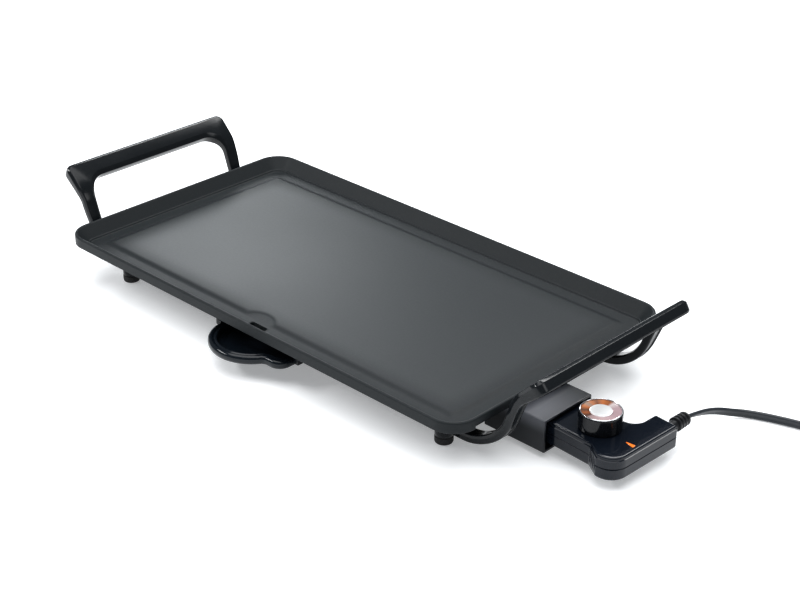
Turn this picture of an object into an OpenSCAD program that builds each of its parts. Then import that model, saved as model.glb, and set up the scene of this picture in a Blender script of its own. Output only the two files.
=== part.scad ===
// Electric griddle: cast plate on two moulded handles, drip tray, and a
// plug-in thermostat controller with its mains cord. Millimetres, +Z up.
// Everything is laid out about the plate's centre, X along the plate towards
// the controller and Y towards the back, then moved so that the origin is
// under the middle of the object without its cord.

/* [Plate] */
// Length of the plate over its rim
plate_l = 500; // [380:5:640]
// Width of the plate over its rim
plate_w = 276; // [230:2:360]
// Corner radius of the rim
plate_corner_r = 24; // [18:1:40]
// Height of the rim above the table
rim_z = 49; // [46:1:58]
// Height of the turned-down skirt
skirt_h = 10; // [6:0.5:12]
// Thickness of the skirt
skirt_t = 3; // [2:0.25:4]
// Depth of the gutter below the rim
gutter_depth = 12.5; // [10:0.5:14]
// How far the sloping wall runs inwards
wall_run = 11; // [8:0.5:14]
// Width of the gutter round the cooking floor
gutter_w = 17; // [12:0.5:22]
// How far the cooking floor stands above the gutter
floor_raise = 1.5; // [1:0.25:3]
// Thickness of the casting under the gutter
cast_t = 3.5; // [3:0.25:5]

/* [Drain] */
// Place of the drain slot along the plate, from the plate's centre
drain_x = 4; // [-40:1:40]
// Length of the drain slot
slot_l = 20; // [12:1:30]
// Width of the drain slot
slot_w = 5; // [3:0.5:8]
// Radius of the gutter's widening round the slot
basin_r = 20; // [14:1:26]

/* [Drip tray] */
// Width of the tray between its side walls, outside
tray_w = 94; // [70:1:120]
// How far the tray runs in under the plate from the rim's edge
tray_in = 48; // [36:1:52]
// Height of the tray's floor above the table
tray_bottom_z = 17.5; // [14:0.5:19]
// Height of the tray's top edge above the table
tray_top_z = 26; // [22:0.5:28]
// How far the tray's pull stands out past the rim
pull_reach = 21; // [12:1:30]
// Half width of the tray's pull
pull_half_w = 40; // [24:1:42]
// Wall thickness of the tray
tray_wall = 1.8; // [1.5:0.1:3]

/* [Handles] */
// Half the length of a handle over its legs
handle_half_l = 97; // [80:1:108]
// Width of a leg along the plate's edge
leg_w = 13.5; // [9:0.5:18]
// Thickness of a leg
leg_t = 8; // [6:0.2:9]
// Length of the grip's section along its slope
grip_w = 24; // [18:0.5:30]
// Thickness of the grip's section
grip_t = 12.3; // [10:0.1:16]
// Slope of the grip from level
grip_tilt = 42; // [35:1:50]
// Radius of the legs' lower sweep
sweep_r = 48; // [44:1:52]
// Rise of a leg between its lower sweep and its grip
leg_rise = 17; // [12:0.5:28]
// How far each handle sits off the plate's centre line
handle_off = 2.4; // [0:0.2:4]
// Distance of the feet from the plate's short edge
foot_in = 47; // [38:1:60]
// Height of the rubber feet
foot_h = 6.5; // [5:0.5:8]
// Diameter of the rubber feet
foot_d = 16; // [14:0.5:18]

/* [Heater] */
// Diameter of the heating element
element_d = 7; // [6:0.25:8]
// Half the length of the element's loop
loop_half_l = 175; // [120:5:175]
// Distance of the loop's back run from the centre line
loop_back = 92; // [60:1:100]
// Distance of the loop's front run from the centre line
loop_front = 76; // [66:1:76]
// Distance between the two contact pins
pin_pitch = 18; // [18:0.5:20]
// Diameter of the contact pins
contact_d = 4.8; // [4:0.1:5]

/* [Terminal guard] */
// Distance of the guard's middle from the plate's centre line, to the front
guard_y = 31.5; // [30:0.5:36]
// Width of the guard
guard_w = 60; // [56:1:70]
// Height of the guard's underside above the table
guard_bottom_z = 4.5; // [3:0.5:6]
// Height of the guard's top above the table
guard_top_z = 35; // [34:0.5:37]
// How far the guard stands out past the rim
guard_out = 27; // [22:1:34]
// Wall thickness of the guard
guard_wall = 2.5; // [2:0.25:3]

/* [Controller] */
// Height of the controller's underside above the table
case_bottom_z = 10; // [9:0.5:12]
// Height of the controller's top above the table
case_top_z = 30.5; // [29:0.5:31]
// Width of the nose that plugs into the guard
nose_w = 46; // [40:1:50]
// Wall thickness of the controller's case
case_wall = 2.2; // [1.8:0.1:2.6]
// Diameter of the probe
probe_d = 6; // [5:0.25:6]
// Diameter of the knob
knob_d = 36; // [30:0.5:40]
// Height of the knob
knob_h = 15.5; // [11:0.5:18]
// Diameter of the knob's spindle
spindle_d = 6; // [5:0.25:7]

/* [Cord and plug] */
// Width of the flat cord
cord_w = 7.6; // [6:0.1:8]
// Thickness of the flat cord
cord_t = 3.6; // [3:0.1:4]
// Mean radius of the stored coil
coil_r = 40; // [36:1:48]
// Turns lying side by side in each layer of the coil
coil_rows = 2; // [2:1:3]
// Diameter of the plug's pins
plug_pin_d = 4.8; // [4:0.1:4.8]
// Length of the plug's pins
plug_pin_l = 19; // [17:0.5:20]
// Distance between the plug's pins
plug_pin_pitch = 19; // [18:0.1:19]

/* [Hidden] */
$fn = 48;

eps = 0.01;                 // overlap of cutting tools
slip = 0.3;                 // gap between pieces of different bodies
screw_d = 3;                // small screws
screw_head_d = 5.6;
screw_head_h = 2;
handle_screw_d = 4;
handle_screw_head_d = 8;
handle_screw_head_h = 2.5;

// Plate heights
end_x = plate_l / 2;
side_y = plate_w / 2;
gutter_z = rim_z - gutter_depth;
under_z = gutter_z - cast_t;
skirt_z = rim_z - skirt_h;
rim_lip = 2.5;              // flat top of the rim
rim_t = 3;                  // thickness of the rim
notch_h = 5;                // how far the skirt is cut up over each handle leg
slot_y = -(side_y - wall_run - 8.5);
basin_y = slot_y - 4.5;

// Handle centre line, [out, up, slope, thickness] at each point: level under
// the foot, swept up, straight, then turned out again into the grip
leg_z = foot_h + leg_t / 2;
leg_turn = 70;              // steepest slope of the leg
upper_turn_r = 34;
sweep_out = 16;             // level stretch between the foot and the sweep
pad_r = 8;
pad_top_z = foot_h + leg_t + 1;
bore_h = 3;                 // counterbore under a foot's screw
foot_y = handle_half_l + 1;
leg_low = [for (t = [0:7:leg_turn]) [-foot_in + sweep_out + sweep_r * sin(t),
    leg_z + sweep_r * (1 - cos(t)), t, leg_t]];
leg_end = leg_low[len(leg_low) - 1] + leg_rise * [cos(leg_turn), sin(leg_turn), 0, 0];
leg_high = [for (k = [0:0.2:1]) let (t = leg_turn + k * (grip_tilt - leg_turn)) [
    leg_end[0] + upper_turn_r * (sin(leg_turn) - sin(t)),
    leg_end[1] + upper_turn_r * (cos(t) - cos(leg_turn)),
    t, leg_t + (0.85 * grip_t - leg_t) * k]];
grip_start = leg_high[len(leg_high) - 1];
grip_mid = [grip_start[0], grip_start[1]] + grip_w / 2 * [cos(grip_tilt), sin(grip_tilt)];
handle_reach = grip_mid[0] + grip_w / 2 * cos(grip_tilt) + grip_t / 2 * sin(grip_tilt) - 1.5;

// Controller, measured from the plate's end and the guard's middle
case_mid_z = (case_bottom_z + case_top_z) / 2;
nose_u = guard_out - 19;
case_u = guard_out + 7;
bend_u = case_u + 65;
bend_r = 17;
arm_v = 46;
knob_at = [guard_out + 31, 1];
relief_at = [bend_u - 9, arm_v];
relief_l = 30;

// Origin: under the middle of the object without its cord
low_x = -(end_x + handle_reach);
high_x = end_x + bend_u + 3;
low_y = -(side_y + pull_reach);
origin_shift = [-(low_x + high_x) / 2, -(low_y + side_y) / 2, 0];

// Cord: points of the free stretch and of the short tail to the plug
cord_points = [[340, 44, 20.5], [341, 52, 19.5], [341.5, 61, 17.5], [342, 70, 15],
    [343, 79, 12], [345, 87.5, 9], [349, 96, 6], [355, 103.5, 4.4], [363, 109, 3.8],
    [373, 113.5, 3.8], [385, 118, 3.8], [399, 122.5, 3.8], [414, 126, 3.8],
    [430, 128, 3.8], [446, 128.6, 3.8]];
cord_roll = [38, 42, 48, 55, 63, 71, 79, 86, 90, 90, 90, 90, 90, 90, 90];
coil_at = [450, 172];
tail_points = [[446, 215.6, 11.4], [436, 216.6, 11.6], [426, 218.6, 12], [418, 220, 12]];
tail_roll = [90, 75, 45, 20];
plug_at = [418, 220, 12];
plug_turn = 170;            // the way the plug points, seen from above

// ---------- helpers ----------
function arc(c, r, a0, a1, n) =
    [for (i = [0:n]) let (a = a0 + (a1 - a0) * i / n) c + r * [cos(a), sin(a)]];
function unit(v) = v / norm(v);

module on_origin() translate(origin_shift) children();
module in_controller() on_origin() translate([end_x, -guard_y, 0]) children();
module mirrored_x() {
    children();
    mirror([1, 0, 0]) children();
}
module mirrored_y() {
    children();
    mirror([0, 1, 0]) children();
}

// Rectangle about the origin with rounded corners
module rounded(l, w, r) {
    square([l - 2 * r, w], center = true);
    square([l, w - 2 * r], center = true);
    for (sx = [-1, 1], sy = [-1, 1])
        translate([sx * (l / 2 - r), sy * (w / 2 - r)]) circle(r);
}
// The rim's outline, moved inwards
module rim_outline(inset) {
    rounded(plate_l - 2 * inset, plate_w - 2 * inset, max(plate_corner_r - inset, 4));
}
module rim_slab(inset, z, h) translate([0, 0, z]) linear_extrude(h) rim_outline(inset);
// A section in the X-Z plane run along Y, and one in the Y-Z plane run along X
module along_y(l) rotate([90, 0, 0]) linear_extrude(l, center = true) children();
module along_x(l) rotate([90, 0, 90]) linear_extrude(l) children();
module rod_x(r, l) rotate([0, 90, 0]) cylinder(r = r, h = l);
module rod_y(r, l) rotate([-90, 0, 0]) cylinder(r = r, h = l);

// Screw driven upwards, its head's underside at z = 0
module screw(d, l, head_d, head_h) {
    cylinder(d = d, h = l);
    translate([0, 0, -head_h]) difference() {
        cylinder(d = head_d, h = head_h);
        translate([0, 0, -eps]) cube([head_d * 0.7, 0.8, 1.6], center = true);
        translate([0, 0, -eps]) cube([0.8, head_d * 0.7, 1.6], center = true);
    }
}

// Flat tube swept along points, rolled about its own line
function tangent(p, i) = unit(p[min(i + 1, len(p) - 1)] - p[max(i - 1, 0)]);
function ring(p, t, roll, w, h, n) =
    let (side = unit(cross(t, [0, 0, 1])), up = cross(side, t))
    [for (k = [0:n - 1]) let (a = 360 * k / n, x = w / 2 * cos(a), y = h / 2 * sin(a))
        p + side * (x * cos(roll) - y * sin(roll)) + up * (x * sin(roll) + y * cos(roll))];
module flat_tube(p, roll, w, h, n = 10) {
    m = len(p);
    points = [for (i = [0:m - 1]) each ring(p[i], tangent(p, i), roll[i], w, h, n)];
    sides = [for (i = [0:m - 2], k = [0:n - 1]) let (k2 = (k + 1) % n)
        [i * n + k, (i + 1) * n + k, (i + 1) * n + k2, i * n + k2]];
    polyhedron(points, concat([[for (k = [0:n - 1]) k]], sides,
        [[for (k = [n - 1:-1:0]) (m - 1) * n + k]]), convexity = 6);
}

// ---------- places of repeated pieces ----------
guard_screw_at = [for (s = [-1, 1]) [end_x - 24, -guard_y + s * (guard_w / 2 - 8)]];
rail_screw_at = [for (s = [-1, 1], y = [20, 42])
    [drain_x + s * (tray_w / 2 + 11), -side_y + y]];
clamp_at = [for (x = [-100, 100], y = [-loop_front, loop_back]) [x, y]];
clamp_half = 9;             // from the element to a clamp's screw
clamp_screw_at = [for (c = clamp_at, s = [-1, 1]) c + [0, s * clamp_half]];
handle_screw_at = [for (sx = [-1, 1], sy = [-1, 1])
    [sx * (end_x - foot_in), sy * foot_y]];
blind = 2;                  // depth of the small screws' holes in the plate

// ---------- plate ----------
module pan_wall() {
    hull() {
        rim_slab(0.5, rim_z - rim_t, rim_t - 0.5);
        rim_slab(wall_run + 1, under_z, 1);
    }
}
module pan_hollow() {
    difference() {
        hull() {
            rim_slab(rim_lip, rim_z, 1);
            rim_slab(wall_run + rim_lip, gutter_z, eps);
        }
        difference() {
            hull() {
                rim_slab(wall_run + gutter_w, gutter_z - 1, 1);
                rim_slab(wall_run + gutter_w + floor_raise, gutter_z - 1, 1 + floor_raise);
            }
            translate([drain_x, basin_y, 0]) cylinder(r = basin_r, h = rim_z);
        }
    }
}
module griddle_plate() color([0.2, 0.21, 0.22]) on_origin() difference() {
    union() {
        difference() {
            rim_slab(0, skirt_z, skirt_h);
            rim_slab(skirt_t, skirt_z - eps, skirt_h - rim_t + eps);
            for (sx = [-1, 1], sy = [-1, 1])
                translate([sx * end_x, sy * (handle_half_l - 5), skirt_z + notch_h / 2 - 1])
                    cube([2 * skirt_t, 44, notch_h + 2], center = true);
        }
        pan_wall();
        for (p = handle_screw_at)
            translate([p[0], p[1], pad_top_z]) cylinder(r = 7, h = under_z - pad_top_z + eps);
    }
    pan_hollow();
    translate([drain_x, slot_y, under_z - 1]) linear_extrude(rim_z)
        rounded(slot_l, slot_w, slot_w / 2 - eps);
    for (p = handle_screw_at)
        translate([p[0], p[1], pad_top_z - 1]) cylinder(d = handle_screw_d, h = 12);
    for (p = concat(guard_screw_at, rail_screw_at, clamp_screw_at))
        translate([p[0], p[1], under_z - 1]) cylinder(d = screw_d, h = blind + 1);
}

// ---------- heating element ----------
element_z = under_z - element_d / 2;
contact_z = case_mid_z;
loop_r = 20;
out_r = 10;                 // bends from the loop out to the contacts
drop_turn = 45;
drop_r = (element_z - contact_z) / (2 * (1 - cos(drop_turn)));
stub_x = loop_half_l + out_r + 2 * drop_r * sin(drop_turn);
bulkhead_x = end_x - 36;    // inner end of the guard
sheath_end_x = end_x - 3;

function flat_arc(cx, cy, r, a0, a1) = [for (k = [0:6]) let (a = a0 + (a1 - a0) * k / 6)
    [cx + r * cos(a), cy + r * sin(a), element_z]];
function cold_end(y) = concat(
    [for (t = [0:9:drop_turn]) [loop_half_l + out_r + drop_r * sin(t), y,
        element_z - drop_r * (1 - cos(t))]],
    [for (t = [drop_turn - 9:-9:0]) [stub_x - drop_r * sin(t), y,
        contact_z + drop_r * (1 - cos(t))]],
    [[sheath_end_x, y, contact_z]]);
function backwards(p) = [for (i = [len(p) - 1:-1:0]) p[i]];
module heating_element() color([0.45, 0.44, 0.42]) on_origin() {
    y_low = -guard_y - pin_pitch / 2;
    y_high = -guard_y + pin_pitch / 2;
    corner_x = loop_half_l - loop_r;
    path = concat(
        backwards(cold_end(y_low)),
        flat_arc(loop_half_l + out_r, y_low - out_r, out_r, 90, 180),
        flat_arc(corner_x, loop_r - loop_front, loop_r, 0, -90),
        flat_arc(-corner_x, loop_r - loop_front, loop_r, 270, 180),
        flat_arc(-corner_x, loop_back - loop_r, loop_r, 180, 90),
        flat_arc(corner_x, loop_back - loop_r, loop_r, 90, 0),
        flat_arc(loop_half_l + out_r, y_high + out_r, out_r, 180, 270),
        cold_end(y_high));
    tidy = [for (i = [0:len(path) - 1]) if (i == 0 || norm(path[i] - path[i - 1]) > 0.1) path[i]];
    flat_tube(tidy, [for (p = tidy) 0], element_d, element_d, 12);
}
module at_contacts(x) on_origin() for (s = [-1, 1])
    translate([x, -guard_y + s * pin_pitch / 2, contact_z]) children();
bead_l = 4;
pin_end_x = end_x + nose_u + 14;
module terminal_beads() color("white") at_contacts(sheath_end_x) rod_x(4, bead_l);
module terminal_pins() color("silver") at_contacts(sheath_end_x + bead_l) {
    rod_x(contact_d / 2, pin_end_x - sheath_end_x - bead_l - contact_d / 2);
    translate([pin_end_x - sheath_end_x - bead_l - contact_d / 2, 0, 0]) sphere(d = contact_d);
}
foot_t = 2.5;               // sheet feet screwed to the plate's underside
module element_clamps() color("silver") on_origin() for (c = clamp_at)
    translate([c[0], c[1], 0]) difference() {
        rotate([90, 0, 90]) linear_extrude(12, center = true) difference() {
            union() {
                translate([0, element_z]) circle(r = element_d / 2 + 2);
                translate([-clamp_half - 4, under_z - foot_t]) square([2 * clamp_half + 8, foot_t]);
            }
            translate([0, element_z]) circle(r = element_d / 2);
            translate([-element_d / 2, element_z]) square([element_d, element_d]);
            translate([-20, under_z]) square([40, 10]);
        }
        for (s = [-1, 1]) translate([0, s * clamp_half, under_z - foot_t - 1])
            cylinder(d = screw_d, h = foot_t + 2);
    }
module foot_screws(places) on_origin() for (p = places)
    translate([p[0], p[1], under_z - foot_t])
        screw(screw_d, foot_t + blind, screw_head_d, screw_head_h);
module clamp_screws() color("silver") foot_screws(clamp_screw_at);
guide_x = end_x - 66;
guide_l = 29;
module probe_guide() color("gray") on_origin() translate([0, -guard_y, 0]) difference() {
    union() {
        translate([guide_x, 0, contact_z]) rod_x(4.5, guide_l);
        translate([guide_x + 3, -1.5, contact_z]) cube([guide_l - 6, 3, under_z - contact_z]);
        translate([guide_x + 3, -4, under_z - foot_t]) cube([guide_l - 6, 8, foot_t]);
    }
    translate([guide_x - eps, 0, contact_z]) rod_x(probe_d / 2 + 0.2, guide_l + 2 * eps);
}

// ---------- handles and feet ----------
module leg_section() {
    line = concat([[-foot_in - 6, leg_z, 0, leg_t]], leg_low, leg_high,
        [[grip_mid[0], grip_mid[1], grip_tilt, 0.85 * grip_t]]);
    upper = [for (p = line) [p[0] - p[3] / 2 * sin(p[2]), p[1] + p[3] / 2 * cos(p[2])]];
    lower = [for (i = [len(line) - 1:-1:0]) let (p = line[i])
        [p[0] + p[3] / 2 * sin(p[2]), p[1] - p[3] / 2 * cos(p[2])]];
    polygon(concat(upper, lower));
    translate(grip_mid) rotate(grip_tilt) rounded(grip_w, grip_t, 4);
}
module leg_front() {
    grip_low_z = grip_start[1] + 3;
    top_z = grip_mid[1] + grip_w;
    difference() {
        translate([0, top_z / 2]) rounded(2 * handle_half_l, top_z, 10);
        translate([0, grip_low_z / 2 - 20])
            rounded(2 * (handle_half_l - leg_w), grip_low_z + 40, 18);
    }
}
module handle() difference() {
    union() {
        intersection() {
            translate([end_x, 0, 0]) along_y(3 * handle_half_l) leg_section();
            translate([0, handle_off, 0]) along_x(plate_l) leg_front();
        }
        mirrored_y() translate([end_x - foot_in, foot_y, foot_h])
            cylinder(r = pad_r, h = pad_top_z - foot_h);
    }
    mirrored_y() translate([end_x - foot_in, foot_y, 0]) {
        cylinder(d = handle_screw_d, h = rim_z);
        cylinder(d = handle_screw_head_d + 0.6, h = foot_h + bore_h);
    }
}
module right_handle() color([0.08, 0.09, 0.1]) on_origin() handle();
module left_handle() color([0.08, 0.09, 0.1]) on_origin() rotate(180) handle();
module handle_screws() color("silver") on_origin() for (p = handle_screw_at)
    translate([p[0], p[1], foot_h + bore_h])
        screw(handle_screw_d, pad_top_z - foot_h + 5, handle_screw_head_d, handle_screw_head_h);
module rubber_feet() color([0.1, 0.1, 0.1]) on_origin() for (p = handle_screw_at)
    translate([p[0], p[1], 0]) {
        cylinder(d1 = foot_d - 2, d2 = foot_d, h = 1);
        translate([0, 0, 1]) cylinder(d = foot_d, h = foot_h - 1);
        translate([0, 0, foot_h]) cylinder(d = handle_screw_head_d + 0.6, h = bore_h - handle_screw_head_h);
    }

// ---------- terminal guard ----------
module guard_shape(inset) {
    low = guard_bottom_z + inset;
    width = guard_w - 2 * inset;
    translate([bulkhead_x + inset, -width / 2, low])
        cube([end_x + guard_out - bulkhead_x, width, under_z - inset - low]);
    translate([end_x - 9 + inset, -width / 2, low])
        cube([guard_out + 9 - inset + (inset > 0 ? 1 : 0), width, guard_top_z - inset - low]);
}
module terminal_guard() color([0.07, 0.08, 0.09]) on_origin() difference() {
    translate([0, -guard_y, 0]) difference() {
        intersection() {
            guard_shape(0);
            translate([0, -guard_w, 0]) cube([end_x + guard_out, 2 * guard_w, rim_z]);
        }
        guard_shape(guard_wall);
        translate([bulkhead_x - 1, 0, contact_z]) {
            rod_x(probe_d / 2 + 0.5, guard_wall + 2);
            for (s = [-1, 1]) translate([0, s * pin_pitch / 2, 0])
                rod_x(element_d / 2 + 0.5, guard_wall + 2);
        }
    }
    for (p = guard_screw_at) translate([p[0], p[1], under_z - foot_t - 1])
        cylinder(d = screw_d, h = foot_t + 2);
}
module guard_screws() color("silver") foot_screws(guard_screw_at);

// ---------- drip tray and its rails ----------
pull_x = -8;                // the pull's middle, from the drain's
rail_in = 15;               // from the rim's edge to the rails
flange_w = 3;
flange_t = 2;
module tray_outline(inset) {
    y0 = -side_y + tray_in;
    front = -side_y - 1;
    translate([drain_x, 0]) {
        offset(r = -inset) {
            translate([0, (y0 + front) / 2]) rounded(tray_w, y0 - front, 12);
            translate([-tray_w / 2, y0 - 14]) square([tray_w, 14]);
            intersection() {
                translate([pull_x, -side_y - pull_reach + pull_half_w]) circle(r = pull_half_w);
                translate([-tray_w, -side_y - 60]) square([2 * tray_w, 59 + rail_in]);
            }
        }
    }
}
module drip_tray() color([0.05, 0.06, 0.07]) on_origin() {
    difference() {
        translate([0, 0, tray_bottom_z]) linear_extrude(tray_top_z - tray_bottom_z) tray_outline(0);
        translate([0, 0, tray_bottom_z + tray_wall]) linear_extrude(tray_top_z) tray_outline(tray_wall);
    }
    for (s = [-1, 1]) translate([drain_x + s * (tray_w + flange_w) / 2, -side_y + (tray_in + rail_in) / 2,
        tray_top_z - flange_t / 2]) cube([flange_w + 2 * eps, tray_in - rail_in, flange_t], center = true);
}
module rail_section() {
    in = tray_w / 2 + slip;
    web = tray_w / 2 + flange_w + 0.4;
    translate([in, tray_top_z - flange_t - slip - 2.5]) square([web + 2.5 - in, 2.5]);
    translate([web, tray_top_z - flange_t - slip - 2.5])
        square([2.5, under_z - tray_top_z + flange_t + slip + 2.5]);
    translate([web, under_z - foot_t]) square([12, foot_t]);
}
module tray_rails() color([0.08, 0.09, 0.1]) on_origin() difference() {
    translate([drain_x, -side_y + (tray_in + rail_in) / 2, 0]) mirrored_x()
        along_y(tray_in - rail_in) rail_section();
    for (p = rail_screw_at) translate([p[0], p[1], under_z - foot_t - 1])
        cylinder(d = screw_d, h = foot_t + 2);
}
module rail_screws() color("silver") foot_screws(rail_screw_at);

// ---------- controller case ----------
module case_outline(inset) offset(delta = -inset) polygon(concat(
    [[nose_u, -nose_w / 2], [case_u, -nose_w / 2], [case_u + 34, -25], [case_u + 47, -33.5]],
    arc([bend_u - bend_r, -17], bend_r, -90, 0, 8),
    [[bend_u + 3, arm_v], [bend_u - 21, arm_v + 2]],
    arc([bend_u - 33, 33], 11, 0, -90, 6),
    [[case_u, nose_w / 2], [nose_u, nose_w / 2]]));
case_screw_at = [[case_u + 9, -16], [bend_u - 14, -24], [bend_u - 14, 24]];
post_r = 3.5;
module case_holes() {
    translate([nose_u - 1, 0, contact_z]) {
        rod_x(probe_d / 2 + 0.05, case_wall + 2);
        for (s = [-1, 1]) translate([0, s * pin_pitch / 2, 0])
            rod_x(contact_d / 2 + 0.4, case_wall + 1.5);
    }
    translate([relief_at[0], arm_v - 3, contact_z]) rod_y(relief_neck_r, 8);
}
module controller_lower_case() color([0.07, 0.08, 0.1]) in_controller() difference() {
    union() {
        difference() {
            translate([0, 0, case_bottom_z]) linear_extrude(case_mid_z - case_bottom_z) case_outline(0);
            translate([0, 0, case_bottom_z + case_wall]) linear_extrude(case_top_z)
                case_outline(case_wall);
        }
        for (p = case_screw_at) translate([p[0], p[1], case_bottom_z + 1])
            cylinder(r = post_r, h = case_mid_z - case_bottom_z - 1);
    }
    case_holes();
    for (p = case_screw_at) translate([p[0], p[1], case_bottom_z - 1]) {
        cylinder(d = screw_d, h = case_top_z);
        cylinder(d = screw_head_d + 0.4, h = 1 + screw_head_h);
    }
}
module lens_outline(grow) offset(delta = grow)
    polygon([[2, -1.8], [10.5, -4.2], [10.5, 0], [2, -0.8]]);
lens_at = [knob_at[0] + 27, knob_at[1] - 3];
module controller_upper_case() color([0.05, 0.06, 0.08]) in_controller() difference() {
    union() {
        difference() {
            translate([0, 0, case_mid_z]) linear_extrude(case_top_z - case_mid_z) case_outline(0);
            translate([0, 0, case_mid_z - 1])
                linear_extrude(case_top_z - case_wall - case_mid_z + 1) case_outline(case_wall);
        }
        for (p = case_screw_at) translate([p[0], p[1], case_mid_z])
            cylinder(r = post_r, h = case_top_z - case_mid_z - 1);
    }
    case_holes();
    translate([knob_at[0], knob_at[1], case_mid_z]) cylinder(r = spindle_d / 2 + slip, h = 20);
    translate([lens_at[0], lens_at[1], case_mid_z]) linear_extrude(20) lens_outline(0);
    for (p = case_screw_at) translate([p[0], p[1], case_mid_z - 1]) cylinder(d = screw_d, h = 8);
}
module case_screws() color("silver") in_controller() for (p = case_screw_at)
    translate([p[0], p[1], case_bottom_z + screw_head_h])
        screw(screw_d, case_mid_z + 5 - case_bottom_z - screw_head_h, screw_head_d, screw_head_h);

// ---------- inside the controller ----------
module probe_stem() color("silver") in_controller() translate([-58, 0, contact_z]) {
    sphere(d = probe_d);
    rod_x(probe_d / 2, nose_u + 58 + 20);
}
module terminal_sockets() color("gold") in_controller() for (s = [-1, 1])
    translate([nose_u + case_wall + 0.6, s * pin_pitch / 2, contact_z]) difference() {
        rod_x(3.4, 22);
        translate([-1, 0, 0]) rod_x(contact_d / 2 + 0.08, 18);
        translate([12, -0.4, 0]) cube([12, 0.8, 5]);
    }
frame_z = case_bottom_z + case_wall + 1;
module thermostat_frame() color("silver") in_controller() translate([knob_at[0], knob_at[1], 0]) {
    translate([-14, -10, frame_z]) cube([30, 20, 1.5]);
    translate([-14, -10, frame_z]) cube([1.5, 20, 3.4]);
    for (s = [-1, 1]) translate([8, s * 7, frame_z - 1]) cylinder(d = 3, h = 1 + eps);
}
module contact_blades() color("goldenrod") in_controller() translate([knob_at[0], knob_at[1], 0])
    for (s = [-1, 1]) {
        translate([-4, s * 7 - 2, frame_z + 1.5]) cube([5, 4, 2.5]);
        translate([-4, s * 7 - 2, frame_z + 4]) cube([20, 4, 0.5]);
    }
module contact_points() color("silver") in_controller() translate([knob_at[0], knob_at[1], 0])
    for (s = [-1, 1]) translate([13, s * 7, frame_z + 4.5]) cylinder(d = 2.6, h = 1.2);
bush_h = 4;
module spindle_bush() color("gold") in_controller()
    translate([knob_at[0], knob_at[1], case_top_z - case_wall - bush_h]) difference() {
        cylinder(r = spindle_d / 2 + 2, h = bush_h);
        translate([0, 0, -1]) cylinder(r = spindle_d / 2 + 0.06, h = bush_h + 2);
    }
module pilot_lamp() color("orange") in_controller()
    translate([lens_at[0] + 7, lens_at[1] - 2, case_mid_z - 3]) {
        cylinder(r = 2.4, h = 6);
        translate([0, 0, 6]) sphere(r = 2.4);
    }
module pilot_lens() color([0.95, 0.4, 0.05]) in_controller()
    translate([lens_at[0], lens_at[1], case_top_z - case_wall + 0.1])
        linear_extrude(case_wall + 0.3) lens_outline(-0.08);
relief_neck_r = 4.6;
module cord_clamp() color("gray") in_controller()
    translate([relief_at[0] - 5, arm_v - 16, case_bottom_z + case_wall]) difference() {
        cube([10, 5, contact_z - case_bottom_z - case_wall + 3.5]);
        translate([5, -1, contact_z - case_bottom_z - case_wall]) rod_y(2.4, 7);
    }
module strain_relief() color([0.05, 0.06, 0.07]) in_controller()
    translate([relief_at[0], arm_v - 6, contact_z]) rotate([-90, 0, 0]) difference() {
        rotate_extrude() polygon(concat([[0, 0], [6, 0], [6, 2], [relief_neck_r - 0.1, 2.5],
            [relief_neck_r - 0.1, 9], [5.2, 12], [4.6, 18]],
            [for (i = [0:3]) each [[6.4, 19 + 4 * i], [6.2, 21.4 + 4 * i], [4.4, 21.9 + 4 * i],
                [4.3, 22.6 + 4 * i]]],
            [[4, relief_l + 5.5], [0, relief_l + 5.5]]));
        translate([0, 0, -1]) cylinder(r = 1.9, h = 10);
    }

// ---------- knob ----------
module at_knob(z) in_controller() translate([knob_at[0], knob_at[1], z]) children();
knob_z = case_top_z + slip;
knob_top_z = knob_z + knob_h;
dial_r = knob_d / 2 - 1.4;
cap_r = dial_r - 7.3;
hub_r = 6;
module spindle() color("silver") at_knob(frame_z + 5) {
    cylinder(d = spindle_d, h = knob_top_z - 4 - frame_z - 5);
    translate([0, 0, -1.5]) cylinder(d = 3, h = 1.5 + eps);
}
module knob_body() color([0.06, 0.06, 0.07]) at_knob(knob_z) difference() {
    cylinder(d = knob_d, h = knob_h - 1);
    difference() {
        translate([0, 0, -eps]) cylinder(r = knob_d / 2 - 2.2, h = knob_h - 5);
        translate([0, 0, -1]) cylinder(r = hub_r, h = knob_h);
    }
    translate([0, 0, -eps]) cylinder(d = spindle_d, h = knob_h - 4 + eps);
    translate([0, 0, knob_h - 2.5]) cylinder(r = dial_r, h = 5);
}
module knob_bezel() color("silver") at_knob(knob_top_z - 1) difference() {
    cylinder(r = knob_d / 2 - 0.4, h = 1);
    translate([0, 0, -1]) cylinder(r = dial_r - 0.4, h = 3);
}
module knob_dial() color([0.8, 0.5, 0.3]) at_knob(knob_top_z - 2.5) difference() {
    cylinder(r = dial_r - 0.05, h = 1.2);
    translate([0, 0, -1]) cylinder(r = cap_r, h = 4);
}
module knob_cap() color([0.9, 0.9, 0.9]) at_knob(knob_top_z - 2.5) {
    cylinder(r = cap_r - 0.05, h = 1.6);
    translate([0, 0, 1.6]) cylinder(r1 = cap_r - 0.05, r2 = cap_r - 1.5, h = 0.6);
}

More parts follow.
